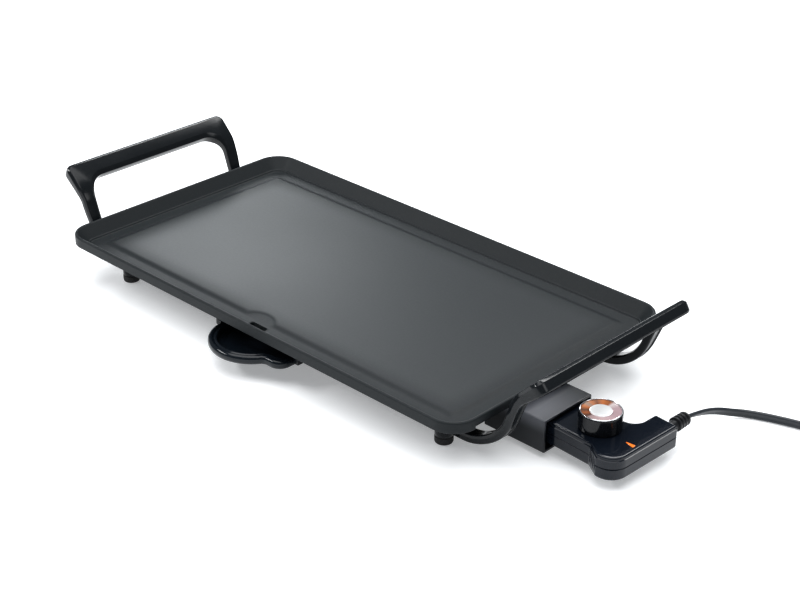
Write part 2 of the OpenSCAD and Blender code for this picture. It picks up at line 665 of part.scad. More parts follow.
// ---------- cord, coil and plug ----------
module cord_run() color([0.08, 0.09, 0.1]) on_origin()
    flat_tube(cord_points, cord_roll, cord_w, cord_t);
module cord_coil() color([0.08, 0.09, 0.1]) on_origin() translate([coil_at[0], coil_at[1], 0])
    rotate_extrude() translate([coil_r - coil_rows * (cord_t + 0.2), 0])
        square([2 * coil_rows * (cord_t + 0.2), 2 * cord_w]);
module cord_tie() color("black") on_origin() translate([coil_at[0] + coil_r, coil_at[1], 0])
    difference() {
        reach = coil_rows * (cord_t + 0.2);
        translate([-reach - 1.2, -2.5, 0]) cube([2 * reach + 2.4, 5, 2 * cord_w + 1.2]);
        translate([-reach, -3, -1]) cube([2 * reach, 6, 2 * cord_w + 1]);
    }
module cord_tail() color([0.08, 0.09, 0.1]) on_origin()
    flat_tube(tail_points, tail_roll, cord_w, cord_t);
module at_plug() on_origin() translate(plug_at) rotate([0, 0, plug_turn]) children();
plug_body_l = 38;
module plug_body() color([0.08, 0.09, 0.1]) at_plug() difference() {
    rotate([0, 90, 0]) rotate_extrude() polygon([[0, 0], [4.4, 0], [5.4, 12], [9, 18],
        [11.6, 26], [11.8, 36], [11.2, plug_body_l], [0, plug_body_l]]);
    for (s = [-1, 1]) translate([plug_body_l - 8, s * plug_pin_pitch / 2, 0])
        rod_x(plug_pin_d / 2 - 0.6, 10);
}
module plug_pins() color("silver") at_plug() for (s = [-1, 1])
    translate([plug_body_l - 8, s * plug_pin_pitch / 2, 0]) {
        rod_x(plug_pin_d / 2 - 0.6, 9);
        translate([8.6, 0, 0]) rod_x(plug_pin_d / 2, plug_pin_l - plug_pin_d / 2 - 0.6);
        translate([8 + plug_pin_l - plug_pin_d / 2, 0, 0]) sphere(d = plug_pin_d);
    }

griddle_plate();
heating_element();
terminal_beads();
terminal_pins();
element_clamps();
clamp_screws();
probe_guide();
left_handle();
right_handle();
handle_screws();
rubber_feet();
terminal_guard();
guard_screws();
tray_rails();
rail_screws();
drip_tray();
controller_lower_case();
controller_upper_case();
case_screws();
probe_stem();
terminal_sockets();
thermostat_frame();
contact_blades();
contact_points();
spindle_bush();
pilot_lamp();
pilot_lens();
cord_clamp();
strain_relief();
spindle();
knob_body();
knob_bezel();
knob_dial();
knob_cap();
cord_run();
cord_coil();
cord_tie();
cord_tail();
plug_body();
plug_pins();
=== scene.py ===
"""Visible pieces of an electric griddle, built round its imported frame.

Sizes are in millimetres in plate coordinates: X along the plate towards the
controller, Y towards the back, Z up from the table, with the origin under the
plate's middle. Datum turns them into metres in the row's own frame.
"""

from __future__ import annotations

import logging
import math
from dataclasses import dataclass, field
from enum import Enum
from typing import Any, Callable, Iterable, Sequence

import bmesh
import bpy
from mathutils import Matrix, Vector

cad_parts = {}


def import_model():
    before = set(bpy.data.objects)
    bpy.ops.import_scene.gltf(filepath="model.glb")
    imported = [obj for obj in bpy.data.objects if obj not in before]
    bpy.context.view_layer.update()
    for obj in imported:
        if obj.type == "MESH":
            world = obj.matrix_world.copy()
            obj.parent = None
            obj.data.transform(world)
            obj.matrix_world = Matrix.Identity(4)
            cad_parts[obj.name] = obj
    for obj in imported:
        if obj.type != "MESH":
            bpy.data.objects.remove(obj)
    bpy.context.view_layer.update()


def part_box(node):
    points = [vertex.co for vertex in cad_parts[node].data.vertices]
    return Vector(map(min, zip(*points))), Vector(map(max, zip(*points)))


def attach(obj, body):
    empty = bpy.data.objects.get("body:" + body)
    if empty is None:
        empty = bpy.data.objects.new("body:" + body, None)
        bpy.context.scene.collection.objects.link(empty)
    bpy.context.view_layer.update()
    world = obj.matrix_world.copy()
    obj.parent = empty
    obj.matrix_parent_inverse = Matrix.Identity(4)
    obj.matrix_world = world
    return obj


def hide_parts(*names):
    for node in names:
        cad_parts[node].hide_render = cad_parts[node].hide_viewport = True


LOG = logging.getLogger("griddle")
MM = 0.001

Flat = tuple[float, float]
Point = tuple[float, float, float]
Colour = tuple[float, float, float]


class Body(Enum):
    """The moving bodies of the frame."""

    GRIDDLE = "griddle"
    TRAY = "drip_tray"
    CONTROLLER = "controller"
    KNOB = "knob"


class Axis(Enum):
    """Which way a turned piece's own line points."""

    UP = "up"
    ALONG_X = "along_x"
    ALONG_Y = "along_y"


# ---------------------------------------------------------------- shader tools


class Value:
    """A number socket of a material's tree, with Python arithmetic."""

    def __init__(self, graph: "Graph", socket: bpy.types.NodeSocket) -> None:
        """Wraps one output socket."""
        self.graph = graph
        self.socket = socket

    def _math(self, operation: str, *terms: Any) -> "Value":
        """Adds one Math node."""
        inputs = dict(enumerate(terms))
        return self.graph.value("ShaderNodeMath", {"operation": operation}, inputs)

    def __add__(self, other: Any) -> "Value":
        """self + other."""
        return self._math("ADD", self, other)

    __radd__ = __add__

    def __sub__(self, other: Any) -> "Value":
        """self - other."""
        return self._math("SUBTRACT", self, other)

    def __rsub__(self, other: Any) -> "Value":
        """other - self."""
        return self._math("SUBTRACT", other, self)

    def __mul__(self, other: Any) -> "Value":
        """self * other."""
        return self._math("MULTIPLY", self, other)

    __rmul__ = __mul__

    def smooth(self, low: float, high: float) -> "Value":
        """A soft step from 0 at low to 1 at high."""
        settings = {"interpolation_type": "SMOOTHSTEP"}
        inputs = {"Value": self, "From Min": low, "From Max": high}
        return self.graph.value("ShaderNodeMapRange", settings, inputs)


class Graph:
    """The node tree of one material."""

    def __init__(self, name: str) -> None:
        """Makes an empty material of that name."""
        self.material = bpy.data.materials.new(name)
        self.material.use_nodes = True
        self.tree = self.material.node_tree
        self.tree.nodes.clear()

    def node(
        self,
        kind: str,
        settings: dict[str, Any] | None = None,
        inputs: dict[Any, Any] | None = None,
    ) -> bpy.types.Node:
        """Adds a node, its settings first and then its sockets.

        Args:
            kind: the node's type.
            settings: its properties; "stops" fills a colour ramp.
            inputs: socket name or number to a plain value or a Value.

        Returns:
            The new node.
        """
        made = self.tree.nodes.new(kind)
        for key, value in (settings or {}).items():
            if key == "stops":
                self._fill_ramp(made.color_ramp, value)
            else:
                setattr(made, key, value)
        for key, value in (inputs or {}).items():
            if isinstance(value, Value):
                self.tree.links.new(value.socket, made.inputs[key])
            else:
                made.inputs[key].default_value = value
        return made

    @staticmethod
    def _fill_ramp(ramp: bpy.types.ColorRamp, stops: Sequence[tuple[float, Colour]]) -> None:
        """Writes a ramp's stops.

        Args:
            ramp: the colour ramp.
            stops: place and colour of each, in order.
        """
        while len(ramp.elements) < len(stops):
            ramp.elements.new(1.0)
        for element, (place, colour) in zip(ramp.elements, stops):
            element.position = place
            element.color = (*colour, 1.0)

    def value(
        self,
        kind: str,
        settings: dict[str, Any] | None = None,
        inputs: dict[Any, Any] | None = None,
        output: Any = 0,
    ) -> Value:
        """Adds a node and wraps one of its outputs."""
        return Value(self, self.node(kind, settings, inputs).outputs[output])

    def place(self, centre: Point = (0.0, 0.0, 0.0), stretch: Point = (1.0, 1.0, 1.0)) -> Value:
        """Object coordinates about a centre.

        Args:
            centre: the point that becomes the pattern's middle, in metres.
            stretch: scale of the pattern along each axis.

        Returns:
            The coordinates.
        """
        start = self.value("ShaderNodeTexCoord", output="Object")
        moved = self.value(
            "ShaderNodeVectorMath", {"operation": "SUBTRACT"}, {0: start, 1: centre}
        )
        return self.value(
            "ShaderNodeVectorMath", {"operation": "MULTIPLY"}, {0: moved, 1: stretch}
        )

    def noise(self, where: Value, scale: float, detail: float = 2.0) -> Value:
        """Soft noise about 0.5."""
        inputs = {"Vector": where, "Scale": scale, "Detail": detail}
        return self.value("ShaderNodeTexNoise", None, inputs)

    def mix(self, share: Value, first: Any, second: Any) -> Value:
        """Mixes two colours."""
        ends = [c if isinstance(c, Value) else (*c, 1.0) for c in (first, second)]
        inputs = {0: share, 6: ends[0], 7: ends[1]}
        return self.value("ShaderNodeMix", {"data_type": "RGBA"}, inputs, 2)

    def bump(self, height: Value, strength: float, depth: float) -> Value:
        """A bumped normal."""
        inputs = {"Strength": strength, "Distance": depth, "Height": height}
        return self.value("ShaderNodeBump", None, inputs)

    def surface(self, **sockets: Any) -> bpy.types.Material:
        """Ends the tree in a Principled shader.

        Args:
            sockets: its sockets, with spaces in their names as underscores.

        Returns:
            The finished material.
        """
        inputs = {key.replace("_", " "): value for key, value in sockets.items()}
        shader = self.value("ShaderNodeBsdfPrincipled", None, inputs)
        self.node("ShaderNodeOutputMaterial", None, {"Surface": shader})
        return self.material


def shade(colour: Colour, factor: float) -> Colour:
    """A lighter or darker colour."""
    return tuple(min(1.0, c * factor) for c in colour)


# -------------------------------------------------------------------- finishes


@dataclass(frozen=True)
class Finish:
    """A plain moulded or painted finish.

    Attributes:
        name: the material's name.
        slot: the record's material slot.
        colour: linear base colour.
        roughness: mean roughness.
        metallic: 1 for bare metal.
        specular: level of the dielectric reflection.
        coat: weight of a clear coat.
        drift: how far colour and roughness wander.
        grain: fine features per metre.
        relief: depth of the fine bump in metres.
    """

    name: str
    slot: str
    colour: Colour
    roughness: float = 0.4
    metallic: float = 0.0
    specular: float = 0.5
    coat: float = 0.0
    drift: float = 0.12
    grain: float = 900.0
    relief: float = 0.00002

    def _wander(self, graph: Graph, share: Value) -> Value:
        """The base colour, a little darker where share is 0 and lighter where it is 1."""
        darker, lighter = shade(self.colour, 1 - self.drift), shade(self.colour, 1 + self.drift)
        return graph.mix(share, darker, lighter)

    def build(self) -> bpy.types.Material:
        """Makes the material.

        Returns:
            The material.
        """
        graph = Graph(self.name)
        where = graph.place()
        cloud = graph.noise(where, 14.0, 3.0)
        fine = graph.noise(where, self.grain, 2.0)
        colour = self._wander(graph, cloud)
        rough = self.roughness + (cloud - 0.5) * (self.roughness * 0.5)
        rough = rough + (fine - 0.5) * (self.roughness * 0.25)
        return graph.surface(
            Base_Color=colour,
            Roughness=rough,
            Metallic=self.metallic,
            Specular_IOR_Level=self.specular,
            Coat_Weight=self.coat,
            Coat_Roughness=0.08,
            Normal=graph.bump(fine, 0.35, self.relief),
        )


@dataclass(frozen=True)
class CastCoating(Finish):
    """Sprayed non-stick coat: orange peel, mottling, and a raised floor painted lighter than its
    walls and gutter, a painted glow that fades into painted shade towards the gutter.

    Attributes:
        centre: middle of the cooking floor in metres, at the gutter's height.
        floor: half sizes of the floor, and how far it stands up, in metres.
        painted_floor_light: colour of the raised floor, painted lighter than the walls as a
            painted glow.
        sheen: coat weight of the raised floor.
    """

    centre: Point = (0.0, 0.0, 0.0)
    floor: Point = (0.219, 0.107, 0.0014)
    painted_floor_light: Colour = (0.021, 0.0245, 0.027)
    sheen: float = 0.08

    def _floor_mask(self, graph: Graph) -> Value:
        """1 on the raised floor and 0 elsewhere, falling off softly at its edges so that the
        floor's painted glow fades into painted shade towards the gutter.

        Args:
            graph: the material's tree.

        Returns:
            The mask.
        """
        apart = graph.node("ShaderNodeSeparateXYZ", None, {0: graph.place(self.centre)})
        x, y, z = (Value(graph, socket) for socket in apart.outputs)
        along = (x * x).smooth((self.floor[0] + 0.006) ** 2, (self.floor[0] - 0.022) ** 2)
        across = (y * y).smooth((self.floor[1] + 0.006) ** 2, (self.floor[1] - 0.022) ** 2)
        return along * across * z.smooth(self.floor[2] * 0.15, self.floor[2])

    def build(self) -> bpy.types.Material:
        """Makes the material.

        Returns:
            The material.
        """
        graph = Graph(self.name)
        where = graph.place()
        cloud = graph.noise(where, 6.0, 3.0)
        peel = graph.noise(where, 420.0, 2.0)
        grit = graph.noise(where, 2600.0, 1.0)
        fleck = graph.noise(where, 1500.0, 0.0).smooth(0.68, 0.76)
        mask = self._floor_mask(graph)
        base = self._wander(graph, cloud)
        # painted light: the raised floor is painted lighter than the walls and gutter, a painted
        # glow fading to painted shade at its edges
        base = graph.mix(mask, base, self.painted_floor_light)
        colour = graph.mix(fleck * 0.2, base, shade(self.painted_floor_light, 1.8))
        rough = self.roughness + (cloud - 0.5) * 0.10 + (peel - 0.5) * 0.10 - mask * 0.08
        height = peel + grit * 0.35
        return graph.surface(
            Base_Color=colour,
            Roughness=rough,
            Specular_IOR_Level=self.specular,
            Coat_Weight=mask * self.sheen,
            Coat_Roughness=0.42,
            Normal=graph.bump(height, 0.30, self.relief),
        )


@dataclass(frozen=True)
class GlossMoulding(Finish):
    """Polished black plastic: near-mirror skin, faint flow marks, dust in the gloss."""

    def build(self) -> bpy.types.Material:
        """Makes the material.

        Returns:
            The material.
        """
        graph = Graph(self.name)
        where = graph.place()
        flow = graph.noise(graph.place((0, 0, 0), (1.0, 1.0, 3.0)), 22.0, 2.0)
        dust = graph.noise(where, 1400.0, 1.0).smooth(0.62, 0.80)
        hair = graph.noise(graph.place((0, 0, 0), (0.25, 1.0, 1.0)), 700.0, 2.0)
        colour = self._wander(graph, flow)
        colour = graph.mix(dust * 0.10, colour, (0.10, 0.105, 0.11))
        rough = self.roughness + (flow - 0.5) * 0.06 + dust * 0.10
        return graph.surface(
            Base_Color=colour,
            Roughness=rough,
            Specular_IOR_Level=self.specular,
            Coat_Weight=self.coat,
            Coat_Roughness=0.05,
            Normal=graph.bump(flow + hair * 0.05, 0.25, self.relief),
        )


@dataclass(frozen=True)
class PaintedGlowMoulding(Finish):
    """Black plastic with a lighter grey patch painted round one point, a painted reflection, and a
    rougher satin skin there.

    Attributes:
        centre: middle of the painted reflection in metres.
        reach: how far it spreads in metres.
        painted_reflection: colour of the painted reflection.
    """

    centre: Point = (0.0, 0.0, 0.0)
    reach: float = 0.062
    painted_reflection: Colour = (0.115, 0.120, 0.135)

    def build(self) -> bpy.types.Material:
        """Makes the material.

        Returns:
            The material.
        """
        graph = Graph(self.name)
        from_glow = graph.place(self.centre, (1.0, 1.0, 4.0))
        away = graph.value(
            "ShaderNodeVectorMath", {"operation": "LENGTH"}, {0: from_glow}, "Value"
        )
        cloud = graph.noise(graph.place(), 30.0, 2.0)
        fine = graph.noise(graph.place(), 1500.0, 2.0)
        near = 1 - away.smooth(0.004, self.reach)
        share = near * (0.85 + (cloud - 0.5) * 0.3)
        rough = self.roughness + (cloud - 0.5) * 0.08 + near * 0.06
        return graph.surface(
            # painted reflection: a lighter grey is mixed in near the centre
            Base_Color=graph.mix(share, self.colour, self.painted_reflection),
            Roughness=rough,
            Specular_IOR_Level=self.specular,
            Normal=graph.bump(fine, 0.25, self.relief),
        )


@dataclass(frozen=True)
class WorkedMetal(Finish):
    """Drawn, plated or polished metal with fine lines along X."""

    stain: Colour = (0.30, 0.27, 0.24)
    stained: float = 0.0

    def build(self) -> bpy.types.Material:
        """Makes the material.

        Returns:
            The material.
        """
        graph = Graph(self.name)
        lines = graph.noise(graph.place((0, 0, 0), (0.06, 1.0, 1.0)), self.grain, 2.0)
        cloud = graph.noise(graph.place(), 35.0, 3.0)
        colour = self._wander(graph, lines)
        colour = graph.mix(cloud.smooth(0.40, 0.75) * self.stained, colour, self.stain)
        rough = self.roughness + (lines - 0.5) * (self.roughness * 0.6)
        rough = rough + (cloud - 0.5) * (self.roughness * 0.4)
        return graph.surface(
            Base_Color=colour,
            Roughness=rough,
            Metallic=self.metallic,
            Normal=graph.bump(lines, 0.20, self.relief),
        )


@dataclass(frozen=True)
class DialMetal(Finish):
    """Turned dial ring with a copper-coloured printed sweep over its left and back, with a painted
    highlight and painted reflection bands in its colour stops.

    Attributes:
        centre: the dial's middle in metres.
    """

    centre: Point = (0.0, 0.0, 0.0)

    def build(self) -> bpy.types.Material:
        """Makes the material.

        Returns:
            The material.
        """
        graph = Graph(self.name)
        where = graph.place(self.centre)
        turned = graph.value(
            "ShaderNodeVectorRotate",
            {"rotation_type": "Z_AXIS"},
            {"Vector": where, "Angle": math.radians(DIAL_START)},
        )
        sweep = graph.value(
            "ShaderNodeTexGradient", {"gradient_type": "RADIAL"}, {"Vector": turned}, 1
        )
        # the stops carry the printed sweep, a painted highlight and painted reflection bands
        colour = graph.value("ShaderNodeValToRGB", {"stops": DIAL_PRINT_AND_HIGHLIGHT_STOPS}, {0: sweep})
        reach = graph.value(
            "ShaderNodeVectorMath", {"operation": "LENGTH"}, {0: where}, "Value"
        )
        rings = graph.value(
            "ShaderNodeTexNoise",
            {"noise_dimensions": "1D"},
            {"W": reach, "Scale": 9000.0, "Detail": 1.0},
        )
        colour = graph.mix((rings - 0.5) * 0.3 + 0.1, colour, (0.35, 0.24, 0.18))
        return graph.surface(
            Base_Color=colour,
            Roughness=self.roughness + (rings - 0.5) * 0.12,
            Metallic=self.metallic,
            Normal=graph.bump(rings, 0.15, self.relief),
        )


@dataclass(frozen=True)
class ClearFinish(Finish):
    """Tinted see-through glass or plastic.

    Attributes:
        clear: share of light let through.
        glow: strength of the lit look.
    """

    clear: float = 0.5
    glow: float = 0.0

    def build(self) -> bpy.types.Material:
        """Makes the material.

        Returns:
            The material.
        """
        graph = Graph(self.name)
        cloud = graph.noise(graph.place(), 260.0, 2.0)
        colour = graph.mix(cloud, shade(self.colour, 0.75), shade(self.colour, 1.25))
        return graph.surface(
            Base_Color=colour,
            Roughness=self.roughness + (cloud - 0.5) * 0.06,
            Transmission_Weight=self.clear,
            IOR=1.49,
            Emission_Color=colour,
            Emission_Strength=self.glow,
            Coat_Weight=self.coat,
        )


@dataclass(frozen=True)
class FloorFinish(Finish):
    """Pale seamless studio floor, lit a little from below.

    Attributes:
        glow: strength of that light.
    """

    glow: float = 0.32

    def build(self) -> bpy.types.Material:
        """Makes the material.

        Returns:
            The material.
        """
        graph = Graph(self.name)
        cloud = graph.noise(graph.place(), 3.0, 2.0)
        colour = graph.mix(cloud, shade(self.colour, 0.985), self.colour)
        return graph.surface(
            Base_Color=colour,
            Roughness=0.75 + (cloud - 0.5) * 0.1,
            Emission_Color=colour,
            Emission_Strength=self.glow,
        )


DIAL_START = 92.0
# Stops of the dial's sweep: a copper printed arc, then the dial's mauve silver. The near-white
# stops at both ends are a painted highlight, and the dark brown and silver-brown bands across the
# copper are painted reflections.
DIAL_PRINT_AND_HIGHLIGHT_STOPS = (
    (0.0, (0.80, 0.70, 0.70)),
    (0.03, (0.45, 0.15, 0.05)),
    (0.09, (0.66, 0.20, 0.04)),
    (0.15, (0.20, 0.06, 0.02)),
    (0.20, (0.50, 0.17, 0.05)),
    (0.25, (0.36, 0.27, 0.22)),
    (0.30, (0.60, 0.18, 0.04)),
    (0.36, (0.10, 0.035, 0.015)),
    (0.41, (0.46, 0.13, 0.03)),
    (0.465, (0.09, 0.03, 0.015)),
    (0.49, (0.55, 0.40, 0.40)),
    (0.62, (0.60, 0.44, 0.46)),
    (0.80, (0.44, 0.31, 0.34)),
    (0.93, (0.52, 0.38, 0.41)),
    (1.0, (0.85, 0.77, 0.77)),
)


class Finishes:
    """Every finish, made once each.

    Args:
        plate_centre: middle of the plate at its gutter's height, in metres.
        dial_centre: middle of the dial in metres.
        guard_glow_centre: middle of the guard's painted reflection in metres.
    """

    def __init__(self, plate_centre: Point, dial_centre: Point, guard_glow_centre: Point) -> None:
        """Lists the finishes."""
        black = (0.010, 0.012, 0.014)
        listed = [
            CastCoating("cast_coating", "nonstick_cast", (0.0135, 0.0165, 0.0185), 0.50,
                        specular=0.22, drift=0.08, relief=0.00005, centre=plate_centre),
            GlossMoulding("handle_gloss", "black_gloss", black, 0.15, specular=0.27),
            # the guard's top carries a painted reflection at its near-left part
            PaintedGlowMoulding("guard_gloss", "black_gloss", (0.008, 0.010, 0.013), 0.34,
                           specular=0.40, centre=guard_glow_centre),
            GlossMoulding("rail_gloss", "black_gloss", black, 0.3, specular=0.3),
            GlossMoulding("tray_gloss", "tray_gloss", (0.006, 0.009, 0.013), 0.12,
                          specular=0.34),
            GlossMoulding("case_gloss", "case_gloss", (0.007, 0.010, 0.016), 0.11,
                          specular=0.34),
            GlossMoulding("knob_gloss", "knob_black", (0.007, 0.008, 0.010), 0.12,
                          specular=0.34),
            Finish("soft_rubber", "black_rubber", (0.014, 0.014, 0.015), 0.62, grain=1400.0,
                   relief=0.00005),
            Finish("relief_rubber", "black_rubber", (0.011, 0.012, 0.014), 0.38, grain=1200.0),
            Finish("cord_jacket", "cord_black", (0.020, 0.024, 0.030), 0.40, grain=1100.0,
                   relief=0.00003),
            Finish("tie_band", "tie_black", (0.012, 0.012, 0.013), 0.7, grain=1800.0,
                   relief=0.0001),
            Finish("plug_black", "plug_black", (0.012, 0.013, 0.015), 0.42, grain=1500.0,
                   relief=0.00004),
            Finish("grey_plastic", "grey_plastic", (0.10, 0.10, 0.105), 0.5),
            Finish("white_ceramic", "white_ceramic", (0.78, 0.76, 0.71), 0.55, drift=0.05),
            WorkedMetal("heated_sheath", "element_sheath", (0.22, 0.20, 0.18), 0.42, 1.0,
                        stain=(0.16, 0.10, 0.12), stained=0.6),
            WorkedMetal("nickel", "nickel", (0.72, 0.70, 0.66), 0.18, 1.0),
            WorkedMetal("plated_steel", "plated_steel", (0.55, 0.55, 0.55), 0.30, 1.0,
                        stained=0.25),
            WorkedMetal("bare_aluminium", "bare_aluminium", (0.66, 0.67, 0.68), 0.38, 1.0),
            WorkedMetal("contact_brass", "contact_brass", (0.70, 0.50, 0.22), 0.26, 1.0,
                        stained=0.15),
            WorkedMetal("bezel_chrome", "bezel_chrome", (0.80, 0.80, 0.82), 0.14, 1.0,
                        drift=0.04),
            WorkedMetal("cap_metal", "cap_metal", (0.93, 0.94, 0.94), 0.34, 0.45, drift=0.03,
                        grain=500.0),
            DialMetal("dial_metal", "dial_metal", (0.7, 0.55, 0.5), 0.34, 0.35,
                      centre=dial_centre),
            ClearFinish("lamp_glass", "lamp_glass", (0.95, 0.55, 0.22), 0.08, clear=0.7),
            ClearFinish("orange_lens", "orange_lens", (0.85, 0.20, 0.02), 0.16, coat=0.5,
                        clear=0.15, glow=0.35),
        ]
        self.by_name = {finish.name: finish for finish in listed}
        self.made: dict[str, bpy.types.Material] = {}

    def material(self, name: str) -> bpy.types.Material:
        """The material of that finish, made when first asked for."""
        if name not in self.made:
            self.made[name] = self.by_name[name].build()
        return self.made[name]

    def slot(self, name: str) -> str:
        """The record's slot of that finish."""
        return self.by_name[name].slot


# ------------------------------------------------------------------ mesh tools


class Datum:
    """Turns plate millimetres into the row's metres."""

    def __init__(self) -> None:
        """Reads the plate's middle from the frame."""
        low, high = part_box("griddle_plate")
        self.middle = Vector(((low.x + high.x) / 2, (low.y + high.y) / 2, 0.0))

    def point(self, x: float, y: float, z: float) -> Vector:
        """A plate point in metres in the row's frame."""
        return self.middle + Vector((x, y, z)) * MM

    def matrix(self) -> Matrix:
        """The same move as a matrix."""
        return Matrix.Translation(self.middle) @ Matrix.Scale(MM, 4)


@dataclass
class Shape:
    """Points and faces in plate millimetres."""

    points: list[Point] = field(default_factory=list)
    faces: list[list[int]] = field(default_factory=list)

    def loft(self, rings: Sequence[Sequence[Point]], closed: bool = False) -> "Shape":
        """Joins rings of equal length, and caps the ends unless it closes on itself.

        Args:
            rings: the rings in order.
            closed: True joins the last ring to the first.

        Returns:
            The shape itself.
        """
        start, size = len(self.points), len(rings[0])
        for ring in rings:
            self.points.extend(tuple(p) for p in ring)
        count = len(rings)
        for i in range(count if closed else count - 1):
            a, b = start + i * size, start + (i + 1) % count * size
            for k in range(size):
                n = (k + 1) % size
                self.faces.append([a + k, a + n, b + n, b + k])
        if not closed:
            self.faces.append([start + k for k in range(size)][::-1])
            last = start + (count - 1) * size
            self.faces.append([last + k for k in range(size)])
        return self

    def join(self, other: "Shape") -> "Shape":
        """Adds another shape's points and faces, and returns the shape itself."""
        start = len(self.points)
        self.points.extend(other.points)
        self.faces.extend([[i + start for i in face] for face in other.faces])
        return self

    def moved(self, matrix: Matrix) -> "Shape":
        """A moved copy."""
        return Shape([tuple(matrix @ Vector(p)) for p in self.points], [f[:] for f in self.faces])

    def mesh(self, name: str, datum: Datum | None) -> bpy.types.Mesh:
        """Makes a closed mesh with outward faces.

        Args:
            name: the mesh's name.
            datum: places it in the row's frame, or None keeps millimetres as metres.

        Returns:
            The mesh.
        """
        made = bmesh.new()
        for point in self.points:
            made.verts.new(point)
        made.verts.ensure_lookup_table()
        for face in self.faces:
            corners = [made.verts[i] for i in dict.fromkeys(face)]
            if len(corners) > 2:
                made.faces.new(corners)
        bmesh.ops.remove_doubles(made, verts=made.verts, dist=0.0005)
        bmesh.ops.dissolve_degenerate(made, edges=made.edges, dist=0.0005)
        bmesh.ops.recalc_face_normals(made, faces=made.faces)
        if datum is not None:
            made.transform(datum.matrix())
        mesh = bpy.data.meshes.new(name)
        made.to_mesh(mesh)
        made.free()
        return mesh


def arc(centre: Flat, radius: float, start: float, end: float, steps: int) -> list[Flat]:
    """Points on an arc."""
    turns = [math.radians(start + (end - start) * i / steps) for i in range(steps + 1)]
    return [(centre[0] + radius * math.cos(a), centre[1] + radius * math.sin(a)) for a in turns]


def rounded_box(length: float, width: float, radius: float, steps: int = 8,
                spans: int = 1) -> list[Flat]:
    """A rectangle about the origin with round corners, anticlockwise from +X.

    Args:
        length: size along the first axis.
        width: size along the second.
        radius: corner radius.
        steps: spans in a corner.
        spans: spans on each straight side.

    Returns:
        The outline.
    """
    a, b = length / 2 - radius, width / 2 - radius
    corners = [(a, b, 0), (-a, b, 90), (-a, -b, 180), (a, -b, 270)]
    line: list[Flat] = []
    for i, (x, y, turn) in enumerate(corners):
        line += arc((x, y), radius, turn, turn + 90, steps)
        following = corners[(i + 1) % 4]
        first = arc((following[0], following[1]), radius, following[2], following[2], 1)[0]
        last = line[-1]
        for k in range(1, spans):
            t = k / spans
            line.append((last[0] + (first[0] - last[0]) * t, last[1] + (first[1] - last[1]) * t))
    return line


def fillet(corners: Sequence[tuple[float, float, float]], steps: int = 6) -> list[Flat]:
    """A polygon with its corners rounded.

    Args:
        corners: x, y and radius of each.
        steps: spans in each round.

    Returns:
        The outline.
    """
    line: list[Flat] = []
    count = len(corners)
    for i, (x, y, radius) in enumerate(corners):
        here = Vector((x, y))
        back = (Vector(corners[i - 1][:2]) - here).normalized()
        ahead = (Vector(corners[(i + 1) % count][:2]) - here).normalized()
        half = math.acos(max(-1.0, min(1.0, back.dot(ahead)))) / 2
        reach = radius / math.tan(half)
        centre = here + (back + ahead).normalized() * (radius / math.sin(half))
        first, last = here + back * reach - centre, here + ahead * reach - centre
        begin = math.atan2(first.y, first.x)
        turn = math.atan2(last.y, last.x) - begin
        turn = (turn + math.pi) % (2 * math.pi) - math.pi
        for k in range(steps + 1):
            a = begin + turn * k / steps
            line.append((centre.x + radius * math.cos(a), centre.y + radius * math.sin(a)))
    return line


def inset(outline: Sequence[Flat], amount: float) -> list[Flat]:
    """An anticlockwise outline moved inwards along its own normals.

    Args:
        outline: the points.
        amount: how far.

    Returns:
        The moved outline.
    """
    moved: list[Flat] = []
    count = len(outline)
    for i, (x, y) in enumerate(outline):
        before, after = Vector(outline[i - 1]), Vector(outline[(i + 1) % count])
        a, b = (Vector((x, y)) - before).normalized(), (after - Vector((x, y))).normalized()
        normal = Vector((-(a.y + b.y), a.x + b.x))
        if normal.length < 1e-6:
            normal = Vector((-a.y, a.x))
        normal.normalize()
        spread = max(0.5, normal.dot(Vector((-a.y, a.x))))
        moved.append((x + normal.x * amount / spread, y + normal.y * amount / spread))
    return moved


def shrunk(corners: Sequence[Point], amount: float) -> list[Flat]:
    """A polygon's rounded outline moved inwards by its sides, so that it never crosses.

    Args:
        corners: x, y and radius of each corner, anticlockwise.
        amount: how far.

    Returns:
        The outline, with as many points at every inset.
    """
    moved: list[Point] = []
    count = len(corners)
    for i, (x, y, radius) in enumerate(corners):
        here = Vector((x, y))
        a = (here - Vector(corners[i - 1][:2])).normalized()
        b = (Vector(corners[(i + 1) % count][:2]) - here).normalized()
        normal = Vector((-(a.y + b.y), a.x + b.x)).normalized()
        reach = amount / normal.dot(Vector((-a.y, a.x)))
        bend = radius - amount if a.cross(b) > 0 else radius + amount
        moved.append((x + normal.x * reach, y + normal.y * reach, max(bend, 0.05)))
    return fillet(moved, 8)


def stacked(outline: Callable[[float], list[Flat]], profile: Sequence[Flat]) -> Shape:
    """A closed shape from one outline at a list of insets and heights."""
    return Shape().loft([[(x, y, z) for x, y in outline(amount)] for amount, z in profile])


def turned(profile: Sequence[Flat], steps: int = 48, closed: bool = False,
           flat_from: float | None = None) -> Shape:
    """A shape turned about Z.

    Args:
        profile: radius and height, from bottom to top.
        steps: spans round the axis.
        closed: True for a ring whose profile closes on itself.
        flat_from: squashes Y beyond this half width, or None.

    Returns:
        The shape.
    """
    rings = []
    for radius, z in profile:
        ring = []
        for x, y in arc((0, 0), max(radius, 1e-5), 0, 360 - 360 / steps, steps - 1):
            if flat_from is not None and abs(y) > flat_from:
                y = math.copysign(flat_from + (abs(y) - flat_from) * 0.35, y)
            ring.append((x, y, z))
        rings.append(ring)
    return Shape().loft(rings, closed)


